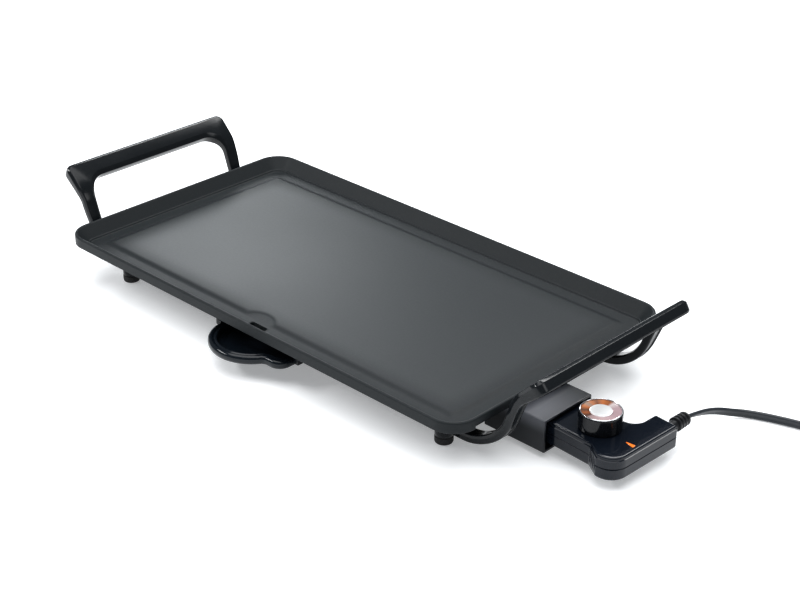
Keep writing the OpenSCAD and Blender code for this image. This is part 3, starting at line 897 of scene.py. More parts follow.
def placed(shape: Shape, x: float, y: float, z: float, axis: Axis = Axis.UP,
           turn: float = 0.0) -> Shape:
    """A copy of a turned shape with its origin and line moved.

    Args:
        shape: a shape about Z.
        x: new origin.
        y: new origin.
        z: new origin.
        axis: where its line points.
        turn: degrees about Z afterwards.

    Returns:
        The moved copy.
    """
    tilt = {
        Axis.UP: Matrix.Identity(4),
        Axis.ALONG_X: Matrix.Rotation(math.radians(90), 4, "Y"),
        Axis.ALONG_Y: Matrix.Rotation(math.radians(-90), 4, "X"),
    }[axis]
    spin = Matrix.Rotation(math.radians(turn), 4, "Z")
    return shape.moved(Matrix.Translation((x, y, z)) @ spin @ tilt)


def block(x0: float, x1: float, y0: float, y1: float, z0: float, z1: float,
          edge: float = 0.4) -> Shape:
    """A box with softened edges.

    Args:
        x0: low X.
        x1: high X.
        y0: low Y.
        y1: high Y.
        z0: low Z.
        z1: high Z.
        edge: size of the softening.

    Returns:
        The shape.
    """
    middle = Matrix.Translation(((x0 + x1) / 2, (y0 + y1) / 2, 0))

    def outline(amount: float) -> list[Flat]:
        """The box's plan at an inset."""
        return rounded_box(x1 - x0 - 2 * amount, y1 - y0 - 2 * amount, edge, 3)

    rings = [(edge * 0.7, z0), (0, z0 + edge * 0.7), (0, z1 - edge * 0.7), (edge * 0.7, z1)]
    return stacked(outline, rings).moved(middle)


class Workshop:
    """Makes finished pieces from shapes.

    Args:
        datum: the frame's datum.
        finishes: the finishes.
    """

    def __init__(self, datum: Datum, finishes: Finishes) -> None:
        """Keeps the datum and the finishes."""
        self.datum = datum
        self.finishes = finishes
        self.count = 0

    def piece(self, name: str, shape: Shape | bpy.types.Mesh, finish: str, body: Body,
              nodes: Sequence[str] = (), sharp: float = 38.0,
              flat: bool = True) -> bpy.types.Object:
        """Makes a piece, dresses it and puts it on its body.

        Args:
            name: the piece's name.
            shape: its shape, or its mesh in the row's frame.
            finish: name of its finish.
            body: the body it rides on.
            nodes: frame nodes that it stands for.
            sharp: edges bent more than this many degrees stay sharp.
            flat: True shades broad faces flat, False lets them round off.

        Returns:
            The piece's object.
        """
        mesh = shape.mesh(name, self.datum) if isinstance(shape, Shape) else shape
        mesh.shade_smooth()
        mesh.set_sharp_from_angle(angle=math.radians(sharp))
        if flat:
            mesh = self._weigh(mesh)
        mesh.name = name
        mesh.materials.clear()
        mesh.materials.append(self.finishes.material(finish))
        made = bpy.data.objects.new(name, mesh)
        bpy.context.scene.collection.objects.link(made)
        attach(made, body.value)
        self.finishes.slot(finish)
        if nodes:
            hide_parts(*nodes)
        self.count += 1
        LOG.info("%s on %s: %d faces", name, body.value, len(mesh.polygons))
        return made

    @staticmethod
    def _weigh(mesh: bpy.types.Mesh) -> bpy.types.Mesh:
        """Weighs a mesh's normals by face area, so that flat faces shade flat.

        Args:
            mesh: the mesh.

        Returns:
            A copy with its own normals.
        """
        holder = bpy.data.objects.new("weigh", mesh)
        bpy.context.scene.collection.objects.link(holder)
        step = holder.modifiers.new("weigh", "WEIGHTED_NORMAL")
        step.keep_sharp = True
        bpy.context.view_layer.update()
        ready = holder.evaluated_get(bpy.context.evaluated_depsgraph_get())
        weighed = bpy.data.meshes.new_from_object(ready)
        bpy.data.objects.remove(holder)
        return weighed

    def cut(self, shape: Shape, cutters: Shape, name: str) -> bpy.types.Mesh:
        """Takes cutters out of a closed shape.

        Args:
            shape: the shape.
            cutters: closed cutting shapes.
            name: the new mesh's name.

        Returns:
            The cut mesh in the row's frame.
        """
        scene = bpy.context.scene.collection
        kept = bpy.data.objects.new(name + "_blank", shape.mesh(name, self.datum))
        tool = bpy.data.objects.new(name + "_tool", cutters.mesh(name, self.datum))
        scene.objects.link(kept)
        scene.objects.link(tool)
        step = kept.modifiers.new("cut", "BOOLEAN")
        step.operation, step.solver, step.object = "DIFFERENCE", "EXACT", tool
        bpy.context.view_layer.update()
        ready = kept.evaluated_get(bpy.context.evaluated_depsgraph_get())
        mesh = bpy.data.meshes.new_from_object(ready)
        bpy.data.objects.remove(kept)
        bpy.data.objects.remove(tool)
        return mesh

    def dress(self, node: str, finish: str) -> None:
        """Gives a carried-over frame node a finish.

        Args:
            node: the node's name.
            finish: name of the finish.
        """
        kept = bpy.data.objects[node]
        kept.data.materials.clear()
        kept.data.materials.append(self.finishes.material(finish))
        LOG.info("%s keeps its frame shape", node)


class Repeats:
    """Geometry trees for pieces that repeat."""

    def __init__(self, shop: Workshop) -> None:
        """Makes the two trees."""
        self.shop = shop
        self.on_points = self._on_points()
        self.on_line = self._on_line()

    @staticmethod
    def _tree(name: str, sockets: Sequence[tuple[str, str]]) -> bpy.types.NodeTree:
        """Makes a tree with named inputs.

        Args:
            name: its name.
            sockets: name and type of each input.

        Returns:
            The tree.
        """
        tree = bpy.data.node_groups.new(name, "GeometryNodeTree")
        tree.interface.new_socket("Geometry", in_out="INPUT", socket_type="NodeSocketGeometry")
        for label, kind in sockets:
            tree.interface.new_socket(label, in_out="INPUT", socket_type=kind)
        tree.interface.new_socket("Geometry", in_out="OUTPUT", socket_type="NodeSocketGeometry")
        return tree

    @staticmethod
    def _end(tree: bpy.types.NodeTree, source: bpy.types.NodeSocket,
             finish: bpy.types.NodeSocket) -> None:
        """Ends a tree in real, dressed geometry.

        Args:
            tree: the tree.
            source: the instances.
            finish: the material input.
        """
        real = tree.nodes.new("GeometryNodeRealizeInstances")
        dress = tree.nodes.new("GeometryNodeSetMaterial")
        out = tree.nodes.new("NodeGroupOutput")
        tree.links.new(source, real.inputs[0])
        tree.links.new(real.outputs[0], dress.inputs["Geometry"])
        tree.links.new(finish, dress.inputs["Material"])
        tree.links.new(dress.outputs[0], out.inputs[0])

    def _on_points(self) -> bpy.types.NodeTree:
        """A tree that sets one blank on each point, turned at random about Z.

        Returns:
            The tree.
        """
        tree = self._tree("Repeat on points", [
            ("Blank", "NodeSocketObject"), ("Size", "NodeSocketFloat"),
            ("Turn", "NodeSocketFloat"), ("Seed", "NodeSocketInt"),
            ("Finish", "NodeSocketMaterial")])
        start = tree.nodes.new("NodeGroupInput")
        info = tree.nodes.new("GeometryNodeObjectInfo")
        chance = tree.nodes.new("FunctionNodeRandomValue")
        chance.data_type = "FLOAT"
        angles = tree.nodes.new("ShaderNodeCombineXYZ")
        spread = tree.nodes.new("GeometryNodeInstanceOnPoints")
        link = tree.links.new
        link(start.outputs["Blank"], info.inputs["Object"])
        link(start.outputs["Turn"], chance.inputs[3])
        link(start.outputs["Seed"], chance.inputs["Seed"])
        link(chance.outputs[1], angles.inputs["Z"])
        link(start.outputs["Geometry"], spread.inputs["Points"])
        link(info.outputs["Geometry"], spread.inputs["Instance"])
        link(angles.outputs[0], spread.inputs["Rotation"])
        link(start.outputs["Size"], spread.inputs["Scale"])
        self._end(tree, spread.outputs[0], start.outputs["Finish"])
        return tree

    def _on_line(self) -> bpy.types.NodeTree:
        """A tree of upright round ribs at even steps along a line.

        Returns:
            The tree.
        """
        tree = self._tree("Ribs on a line", [
            ("Count", "NodeSocketInt"), ("Start", "NodeSocketVector"),
            ("Step", "NodeSocketVector"), ("Radius", "NodeSocketFloat"),
            ("Height", "NodeSocketFloat"), ("Finish", "NodeSocketMaterial")])
        start = tree.nodes.new("NodeGroupInput")
        line = tree.nodes.new("GeometryNodeMeshLine")
        line.mode = "OFFSET"
        rib = tree.nodes.new("GeometryNodeMeshUVSphere")
        rib.inputs["Segments"].default_value = 20
        rib.inputs["Rings"].default_value = 16
        rib.inputs["Radius"].default_value = 1.0
        ratio = tree.nodes.new("ShaderNodeMath")
        ratio.operation = "MULTIPLY"
        ratio.inputs[1].default_value = 0.5
        sizes = tree.nodes.new("ShaderNodeCombineXYZ")
        spread = tree.nodes.new("GeometryNodeInstanceOnPoints")
        link = tree.links.new
        link(start.outputs["Count"], line.inputs["Count"])
        link(start.outputs["Start"], line.inputs["Start Location"])
        link(start.outputs["Step"], line.inputs["Offset"])
        link(start.outputs["Height"], ratio.inputs[0])
        link(start.outputs["Radius"], sizes.inputs["X"])
        link(start.outputs["Radius"], sizes.inputs["Y"])
        link(ratio.outputs[0], sizes.inputs["Z"])
        link(line.outputs[0], spread.inputs["Points"])
        link(rib.outputs[0], spread.inputs["Instance"])
        link(sizes.outputs[0], spread.inputs["Scale"])
        self._end(tree, spread.outputs[0], start.outputs["Finish"])
        return tree

    def _run(self, name: str, tree: bpy.types.NodeTree, start: bpy.types.Mesh,
             values: dict[str, Any]) -> bpy.types.Mesh:
        """Evaluates a tree and returns its plain mesh.

        Args:
            name: name of the result.
            tree: the tree.
            start: mesh that the modifier sits on.
            values: input name to value.

        Returns:
            The mesh.
        """
        holder = bpy.data.objects.new(name + "_holder", start)
        bpy.context.scene.collection.objects.link(holder)
        step = holder.modifiers.new("repeat", "NODES")
        step.node_group = tree
        names = {s.name: s.identifier for s in tree.interface.items_tree
                 if s.item_type == "SOCKET" and s.in_out == "INPUT"}
        for label, value in values.items():
            step[names[label]] = value
        bpy.context.view_layer.update()
        ready = holder.evaluated_get(bpy.context.evaluated_depsgraph_get())
        mesh = bpy.data.meshes.new_from_object(ready)
        holder.modifiers.remove(step)
        bpy.data.objects.remove(holder)
        return mesh

    def at(self, name: str, blank: Shape, places: Iterable[Point], finish: str,
           turn: float = 0.0) -> bpy.types.Mesh:
        """Sets a blank at each place.

        Args:
            name: name of the result.
            blank: the shape in millimetres about its own origin.
            places: plate points.
            finish: its finish.
            turn: most that each is turned at random, in radians.

        Returns:
            The mesh in the row's frame.
        """
        points = bpy.data.meshes.new(name + "_points")
        points.from_pydata([self.shop.datum.point(*p) for p in places], [], [])
        single = bpy.data.objects.new(name + "_blank", blank.mesh(name + "_blank", None))
        bpy.context.scene.collection.objects.link(single)
        mesh = self._run(name, self.on_points, points, {
            "Blank": single, "Size": MM, "Turn": turn, "Seed": 7,
            "Finish": self.shop.finishes.material(finish)})
        bpy.data.objects.remove(single)
        return mesh

    def ribs(self, name: str, first: Point, last: Point, count: int, radius: float,
             height: float, finish: str) -> bpy.types.Mesh:
        """Upright ribs between two plate points.

        Args:
            name: name of the result.
            first: middle of the first rib.
            last: middle of the last.
            count: how many.
            radius: half width of a rib.
            height: its height.
            finish: its finish.

        Returns:
            The mesh in the row's frame.
        """
        begin, end = self.shop.datum.point(*first), self.shop.datum.point(*last)
        return self._run(name, self.on_line, bpy.data.meshes.new(name), {
            "Count": count, "Start": begin, "Step": (end - begin) / (count - 1),
            "Radius": radius * MM, "Height": height * MM,
            "Finish": self.shop.finishes.material(finish)})


def screw(shank: float, length: float, head: float, rise: float) -> Shape:
    """A screw driven upwards, with a domed head and a cross recess.

    Args:
        shank: diameter of the shank.
        length: its length above the head.
        head: diameter of the head.
        rise: height of the head.

    Returns:
        The screw, its head's upper face at height 0.
    """
    r, s = head / 2, shank / 2
    rings = []
    profile = [(0.0, -rise + 1.2), (0.10 * r, -rise + 1.2), (0.32 * r, -rise + 0.5),
               (0.62 * r, -rise), (0.86 * r, -rise * 0.78), (r, -rise * 0.35), (r, 0.0),
               (s, 0.0)]
    turns = max(3, int(length / 0.7))
    for k in range(turns):
        z = length * (k + 0.5) / turns
        profile += [(s, z), (s * 0.86, z + length / turns * 0.4)]
    profile += [(s * 0.8, length - 0.2), (0.0, length)]
    for i, (radius, z) in enumerate(profile):
        ring = []
        for x, y in arc((0, 0), max(radius, 1e-5), 0, 345, 23):
            if i in (2, 3):
                share = abs(math.sin(2 * math.atan2(y, x)))
                pull = 1.0 - 0.35 * share if i == 2 else 1.0
                x, y = x * pull, y * pull
            ring.append((x, y, z))
        rings.append(ring)
    return Shape().loft(rings)


# ------------------------------------------------------------- camera and light


@dataclass
class Studio:
    """Camera, lights and floor.

    Attributes:
        eye: the camera's place in plate millimetres.
        ahead: the way it looks.
        right: its right-hand direction.
        lens: focal length.
        sensor: width of the sensor.
        floor_half: half size of the floor in metres.
    """

    eye: Point = (967.0, -959.0, 738.0)
    ahead: Point = (-0.6077, 0.6419, -0.4677)
    right: Point = (0.7220, 0.6917, 0.0112)
    lens: float = 75.33
    sensor: float = 36.0
    floor_half: float = 6.0

    def camera(self, datum: Datum) -> None:
        """Makes the scene's camera."""
        data = bpy.data.cameras.new("camera")
        data.lens, data.sensor_width = self.lens, self.sensor
        data.clip_start, data.clip_end = 0.05, 60.0
        data.dof.use_dof = False
        made = bpy.data.objects.new("camera", data)
        bpy.context.scene.collection.objects.link(made)
        back = -Vector(self.ahead).normalized()
        across = Vector(self.right)
        across = (across - back * across.dot(back)).normalized()
        up = back.cross(across)
        made.matrix_world = Matrix.Translation(datum.point(*self.eye)) @ Matrix(
            (across, up, back)).transposed().to_4x4()
        bpy.context.scene.camera = made
        view = bpy.context.scene.view_settings
        view.view_transform, view.look = "Standard", "Medium High Contrast"

    def _softbox(self, name: str, place: Point, target: Point, size: Flat, power: float,
                 tint: Colour = (1.0, 1.0, 1.0)) -> None:
        """Makes one area light.

        Args:
            name: its name.
            place: where it stands, in metres.
            target: the point that it faces.
            size: width and height in metres.
            power: watts.
            tint: its colour.
        """
        data = bpy.data.lights.new(name, "AREA")
        data.shape, data.size, data.size_y = "RECTANGLE", size[0], size[1]
        data.energy, data.color = power, tint
        made = bpy.data.objects.new(name, data)
        bpy.context.scene.collection.objects.link(made)
        made.location = place
        made.rotation_mode = "QUATERNION"
        made.rotation_quaternion = (Vector(target) - Vector(place)).to_track_quat("-Z", "Y")

    def lights(self) -> None:
        """Makes the soft studio lights."""
        world = bpy.data.worlds.new("studio_air")
        world.use_nodes = True
        air = world.node_tree.nodes["Background"]
        air.inputs["Color"].default_value = (0.90, 0.95, 1.0, 1.0)
        air.inputs["Strength"].default_value = 0.24
        bpy.context.scene.world = world
        self._softbox("overhead", (0.1, -0.3, 2.7), (0, 0, 0), (3.4, 3.0), 88.0)
        self._softbox("back_left", (-1.90, 1.40, 1.18), (-0.1, 0.0, 0.04), (0.55, 0.50), 10.0,
                      (0.95, 0.98, 1.0))
        self._softbox("back_top", (-0.45, 1.75, 2.15), (0.27, 0.0, 0.08), (1.7, 0.6), 28.0)
        self._softbox("front_left", (-1.46, -1.40, 1.50), (0.0, -0.15, 0.03), (1.1, 0.22), 20.0)
        self._softbox("right_fill", (2.6, 0.9, 1.3), (0, 0, 0), (1.0, 1.0), 8.0)

    def floor(self) -> None:
        """Makes the floor, which isn't part of the object."""
        finish = FloorFinish("studio_floor", "", (0.86, 0.87, 0.88))
        half = self.floor_half
        mesh = bpy.data.meshes.new("floor")
        mesh.from_pydata([(-half, -half, 0), (half, -half, 0), (half, half, 0),
                          (-half, half, 0)], [], [(0, 1, 2, 3)])
        mesh.materials.append(finish.build())
        made = bpy.data.objects.new("floor", mesh)
        bpy.context.scene.collection.objects.link(made)
        made.location.z = -0.0005


# ---------------------------------------------------------------- cord and plug


@dataclass
class CordSet:
    """The flat mains cord with its coil, tie and plug.

    Attributes:
        route: free stretch from the strain relief to the coil.
        rolls: roll of the flat section at each point of it, in degrees.
        tail: short stretch from the coil to the plug.
        tail_rolls: roll at each point of it.
        width: width of the flat section.
        core: radius of each of its two cores.
        coil: centre of the coil.
        layers: heights of the coil's two layers.
        pitch: how much nearer the middle each turn lies.
        turns: whole turns of the coil.
        plug_turn: the way the plug points, in degrees.
    """

    route: tuple[Point, ...] = (
        (340, 44, 20.5), (341, 52, 19.5), (341.5, 61, 17.5), (342, 70, 15), (343, 79, 12),
        (345, 87.5, 9), (349, 96, 6), (355, 103.5, 4.4), (363, 109, 3.8), (373, 113.5, 3.8),
        (385, 118, 3.8), (399, 122.5, 3.8), (414, 126, 3.8), (430, 128, 3.8),
        (446, 128.6, 3.8))
    rolls: tuple[float, ...] = (38, 42, 48, 55, 63, 71, 79, 86, 90, 90, 90, 90, 90, 90, 90)
    tail: tuple[Point, ...] = ((446, 215.6, 11.4), (436, 216.6, 11.6), (426, 218.6, 12),
                               (418, 220, 12), (414, 220.7, 12))
    tail_rolls: tuple[float, ...] = (90, 75, 45, 20, 20)
    width: float = 7.6
    core: float = 1.8
    coil: Flat = (450.0, 172.0)
    layers: Flat = (3.8, 11.4)
    pitch: float = 3.8
    turns: int = 4
    plug_turn: float = 170.0

    def _coil(self) -> list[Point]:
        """The coil's centreline: in along the floor, up one layer, and out.

        Returns:
            Its points.
        """
        cx, cy = self.coil
        begin = math.atan2(self.route[-1][1] - cy, self.route[-1][0] - cx)
        finish = math.atan2(self.tail[0][1] - cy, self.tail[0][0] - cx)
        total = finish - begin + 2 * math.pi * self.turns
        outer = math.hypot(self.route[-1][0] - cx, self.route[-1][1] - cy)
        steps = int(total / math.radians(12))
        line = []
        for k in range(1, steps):
            share = k / steps
            depth = min(share, 1 - share) * total / (2 * math.pi) * self.pitch
            rise = max(0.0, min(1.0, (share - 0.5) * total / math.radians(110) + 0.5))
            rise = rise * rise * (3 - 2 * rise)
            a = begin + total * share
            z = self.layers[0] + (self.layers[1] - self.layers[0]) * rise
            reach = outer - depth
            line.append((cx + reach * math.cos(a), cy + reach * math.sin(a), z))
        return line

    def _line(self) -> tuple[list[Vector], list[float]]:
        """The whole centreline, smoothed, with its rolls.

        Returns:
            The points in plate millimetres and the roll at each.
        """
        coil = self._coil()
        points = [Vector(p) for p in (*self.route, *coil, *self.tail)]
        rolls = [*self.rolls, *[90.0] * len(coil), *self.tail_rolls]
        fine, turns = [], []
        for i in range(len(points) - 1):
            p0, p1 = points[max(i - 1, 0)], points[i]
            p2, p3 = points[i + 1], points[min(i + 2, len(points) - 1)]
            for t in (0.0, 0.5):
                fine.append(0.5 * (2 * p1 + (p2 - p0) * t + (2 * p0 - 5 * p1 + 4 * p2 - p3) * t * t
                                   + (3 * p1 - p0 - 3 * p2 + p3) * t ** 3))
                turns.append(rolls[i] + (rolls[i + 1] - rolls[i]) * t)
        return [*fine, points[-1]], [*turns, rolls[-1]]

    def _section(self) -> list[Flat]:
        """Two round cores with a groove between them.

        Returns:
            The outline across the cord.
        """
        off = self.width / 2 - self.core
        right = arc((off, 0), self.core, -122, 122, 10)
        left = arc((-off, 0), self.core, 58, 302, 10)
        return [*right, (0.0, self.core * 0.62), *left, (0.0, -self.core * 0.62)]

    def _sweep(self, line: Sequence[Vector], rolls: Sequence[float]) -> Shape:
        """Sweeps the section along a line.

        Args:
            line: the centreline.
            rolls: roll at each point in degrees.

        Returns:
            The cord's shape.
        """
        section = self._section()
        rings = []
        for i, here in enumerate(line):
            ahead = (line[min(i + 1, len(line) - 1)] - line[max(i - 1, 0)]).normalized()
            side = ahead.cross(Vector((0, 0, 1))).normalized()
            up = side.cross(ahead)
            c, s = math.cos(math.radians(rolls[i])), math.sin(math.radians(rolls[i]))
            rings.append([tuple(here + side * (x * c - y * s) + up * (x * s + y * c))
                          for x, y in section])
        return Shape().loft(rings)

    def _plug(self) -> Shape:
        """The plug's body, ribbed where it is held.

        Returns:
            The shape about its own line, from the cord's end to its face.
        """
        profile = [(0.0, 0.0), (4.2, 0.0), (4.6, 0.4)]
        for k in range(4):
            z = 1.6 + 2.6 * k
            profile += [(4.7 + 0.1 * k, z), (5.3 + 0.1 * k, z + 0.4), (5.3 + 0.1 * k, z + 1.4),
                        (4.7 + 0.1 * k, z + 1.8)]
        profile += [(5.4, 12.6), (6.6, 14.5), (8.6, 17.5), (10.6, 22.0), (11.5, 26.0)]
        for k in range(3):
            z = 27.0 + 2.2 * k
            profile += [(11.6, z), (11.0, z + 0.5), (11.0, z + 0.9), (11.6, z + 1.4)]
        profile += [(11.8, 34.5), (11.7, 36.6), (11.2, 37.6), (10.4, 38.0), (0.0, 38.0)]
        return turned(profile, 48, flat_from=7.5)

    def build(self, shop: Workshop) -> None:
        """Args:
            shop: the workshop.
        """
        line, rolls = self._line()
        cord = shop.piece("mains_cord", self._sweep(line, rolls), "cord_jacket",
                          Body.CONTROLLER, ["cord_run", "cord_coil", "cord_tail"], 60)
        end = self.tail[-2]
        plug = shop.piece("mains_plug", placed(self._plug(), *end, Axis.ALONG_X,
                                               self.plug_turn),
                          "plug_black", Body.CONTROLLER, ["plug_body"])
        tie = shop.piece("cord_tie_band", self._tie(), "tie_band", Body.CONTROLLER,
                         ["cord_tie"])
        path = [shop.datum.point(*p) for p in line]

    def _tie(self) -> Shape:
        """A strap over the coil with a small buckle.

        Returns:
            The shape.
        """
        cx, cy = self.coil[0] + 40.0, self.coil[1]

        def ring(grow: float, y: float) -> list[Point]:
            """The strap's loop at a height off the bundle."""
            line = rounded_box(14.6 + 2 * grow, 15.4 + 2 * grow, 2.2 + grow, 5)
            return [(cx - 0.6 + x, cy + y, max(0.36 - 0.4 * grow, 7.7 + z)) for x, z in line]

        strap = Shape().loft([ring(0.1, -2.2), ring(0.5, -2.5), ring(0.9, -2.2),
                              ring(0.9, 2.2), ring(0.5, 2.5), ring(0.1, 2.2)], True)
        return strap.join(block(cx + 6.9, cx + 8.6, cy - 2.5, cy + 2.5, 5.0, 10.5, 0.4))


# ------------------------------------------------------------------------ plate


@dataclass
class Plate:
    """The cast cooking plate.

    Attributes:
        length: over the rim.
        width: over the rim.
        corner: radius of the rim's corners.
        profile: inset and height round the whole section.
        floor_from: insets from here on follow the drain's widening.
        basin: centre and radius of that widening.
        slot: size of the drain slot.
        drain: the slot's middle.
        feet: places of the four feet.
        pad_top: height of the handles' foot pads.
        gutter: height of the gutter.
    """

    length: float = 500.0
    width: float = 276.0
    corner: float = 24.0
    floor_from: float = 26.8
    basin: Point = (-5.0, -123.0, 20.0)
    slot: Flat = (20.0, 5.0)
    drain: Flat = (2.0, -118.5)
    feet: tuple[Flat, ...] = ((203, 98), (-203, 98), (-203, -98), (203, -98))
    pad_top: float = 15.5
    gutter: float = 36.5
    profile: tuple[Flat, ...] = (
        (13.0, 33.0), (12.0, 33.15), (4.2, 41.9), (3.3, 42.6), (3.0, 42.0), (3.0, 39.3),
        (2.7, 39.0), (0.4, 39.0), (0.0, 39.4), (0.0, 47.2), (0.15, 48.1), (0.6, 48.7),
        (1.3, 49.0), (2.1, 49.0), (2.7, 48.8), (3.2, 48.3), (11.9, 38.5), (12.4, 38.15),
        (12.9, 38.1), (13.3, 37.8), (13.8, 36.9), (14.4, 36.55), (15.2, 36.5), (24.8, 36.5),
        (26.4, 36.6), (28.0, 36.95), (29.6, 37.5), (31.2, 37.87), (33.2, 38.0), (45.0, 38.0))

    def _ring(self, amount: float) -> list[Flat]:
        """The plate's outline at an inset, pushed clear of the drain's widening.

        Args:
            amount: the inset.

        Returns:
            The outline.
        """
        radius = max(self.corner - amount, 4.0)
        line = rounded_box(self.length - 2 * amount, self.width - 2 * amount, radius, 14, 170)
        if amount < self.floor_from:
            return line
        cx, cy, reach = self.basin
        reach += max(0.0, amount - self.floor_from)
        moved = []
        for x, y in line:
            off = abs(x - cx)
            if y < 0 and off < reach:
                y = max(y, cy + math.sqrt(reach * reach - off * off))
            moved.append((x, y))
        return moved

    def build(self, shop: Workshop) -> None:
        """Makes the plate with its slot, skirt notches and screw bosses.

        Args:
            shop: the workshop.
        """
        blank = stacked(self._ring, self.profile)
        slot = rounded_box(self.slot[0], self.slot[1], self.slot[1] / 2 - 0.01, 8)
        tools = Shape().loft([[(x * g + self.drain[0], y * g + self.drain[1], z)
                               for x, y in slot]
                              for g, z in ((1.0, 25.0), (1.0, 36.0), (1.12, 36.6), (1.12, 60.0))])
        for sx in (-1, 1):
            for sy in (-1, 1):
                x, y = sx * self.length / 2, sy * 92.0
                tools.join(block(min(x - sx * 2.9, x + sx * 3), max(x - sx * 2.9, x + sx * 3),
                                 y - 22, y + 22, 36.5, 44.0, 1.0))
        mesh = shop.cut(blank, tools, "cooking_plate")
        shop.piece("cooking_plate", mesh, "cast_coating", Body.GRIDDLE, ["griddle_plate"], 30)
        boss = Shape()
        for x, y in self.feet:
            ring = turned([(2.0, 0.0), (6.4, 0.0), (6.9, 0.6), (7.0, 15.6), (7.8, 17.0),
                           (9.4, 17.6), (2.0, 17.6)], 40, True)
            boss.join(placed(ring, x, y, self.pad_top))
        shop.piece("plate_bosses", boss, "cast_coating", Body.GRIDDLE)


# ---------------------------------------------------------------------- handles


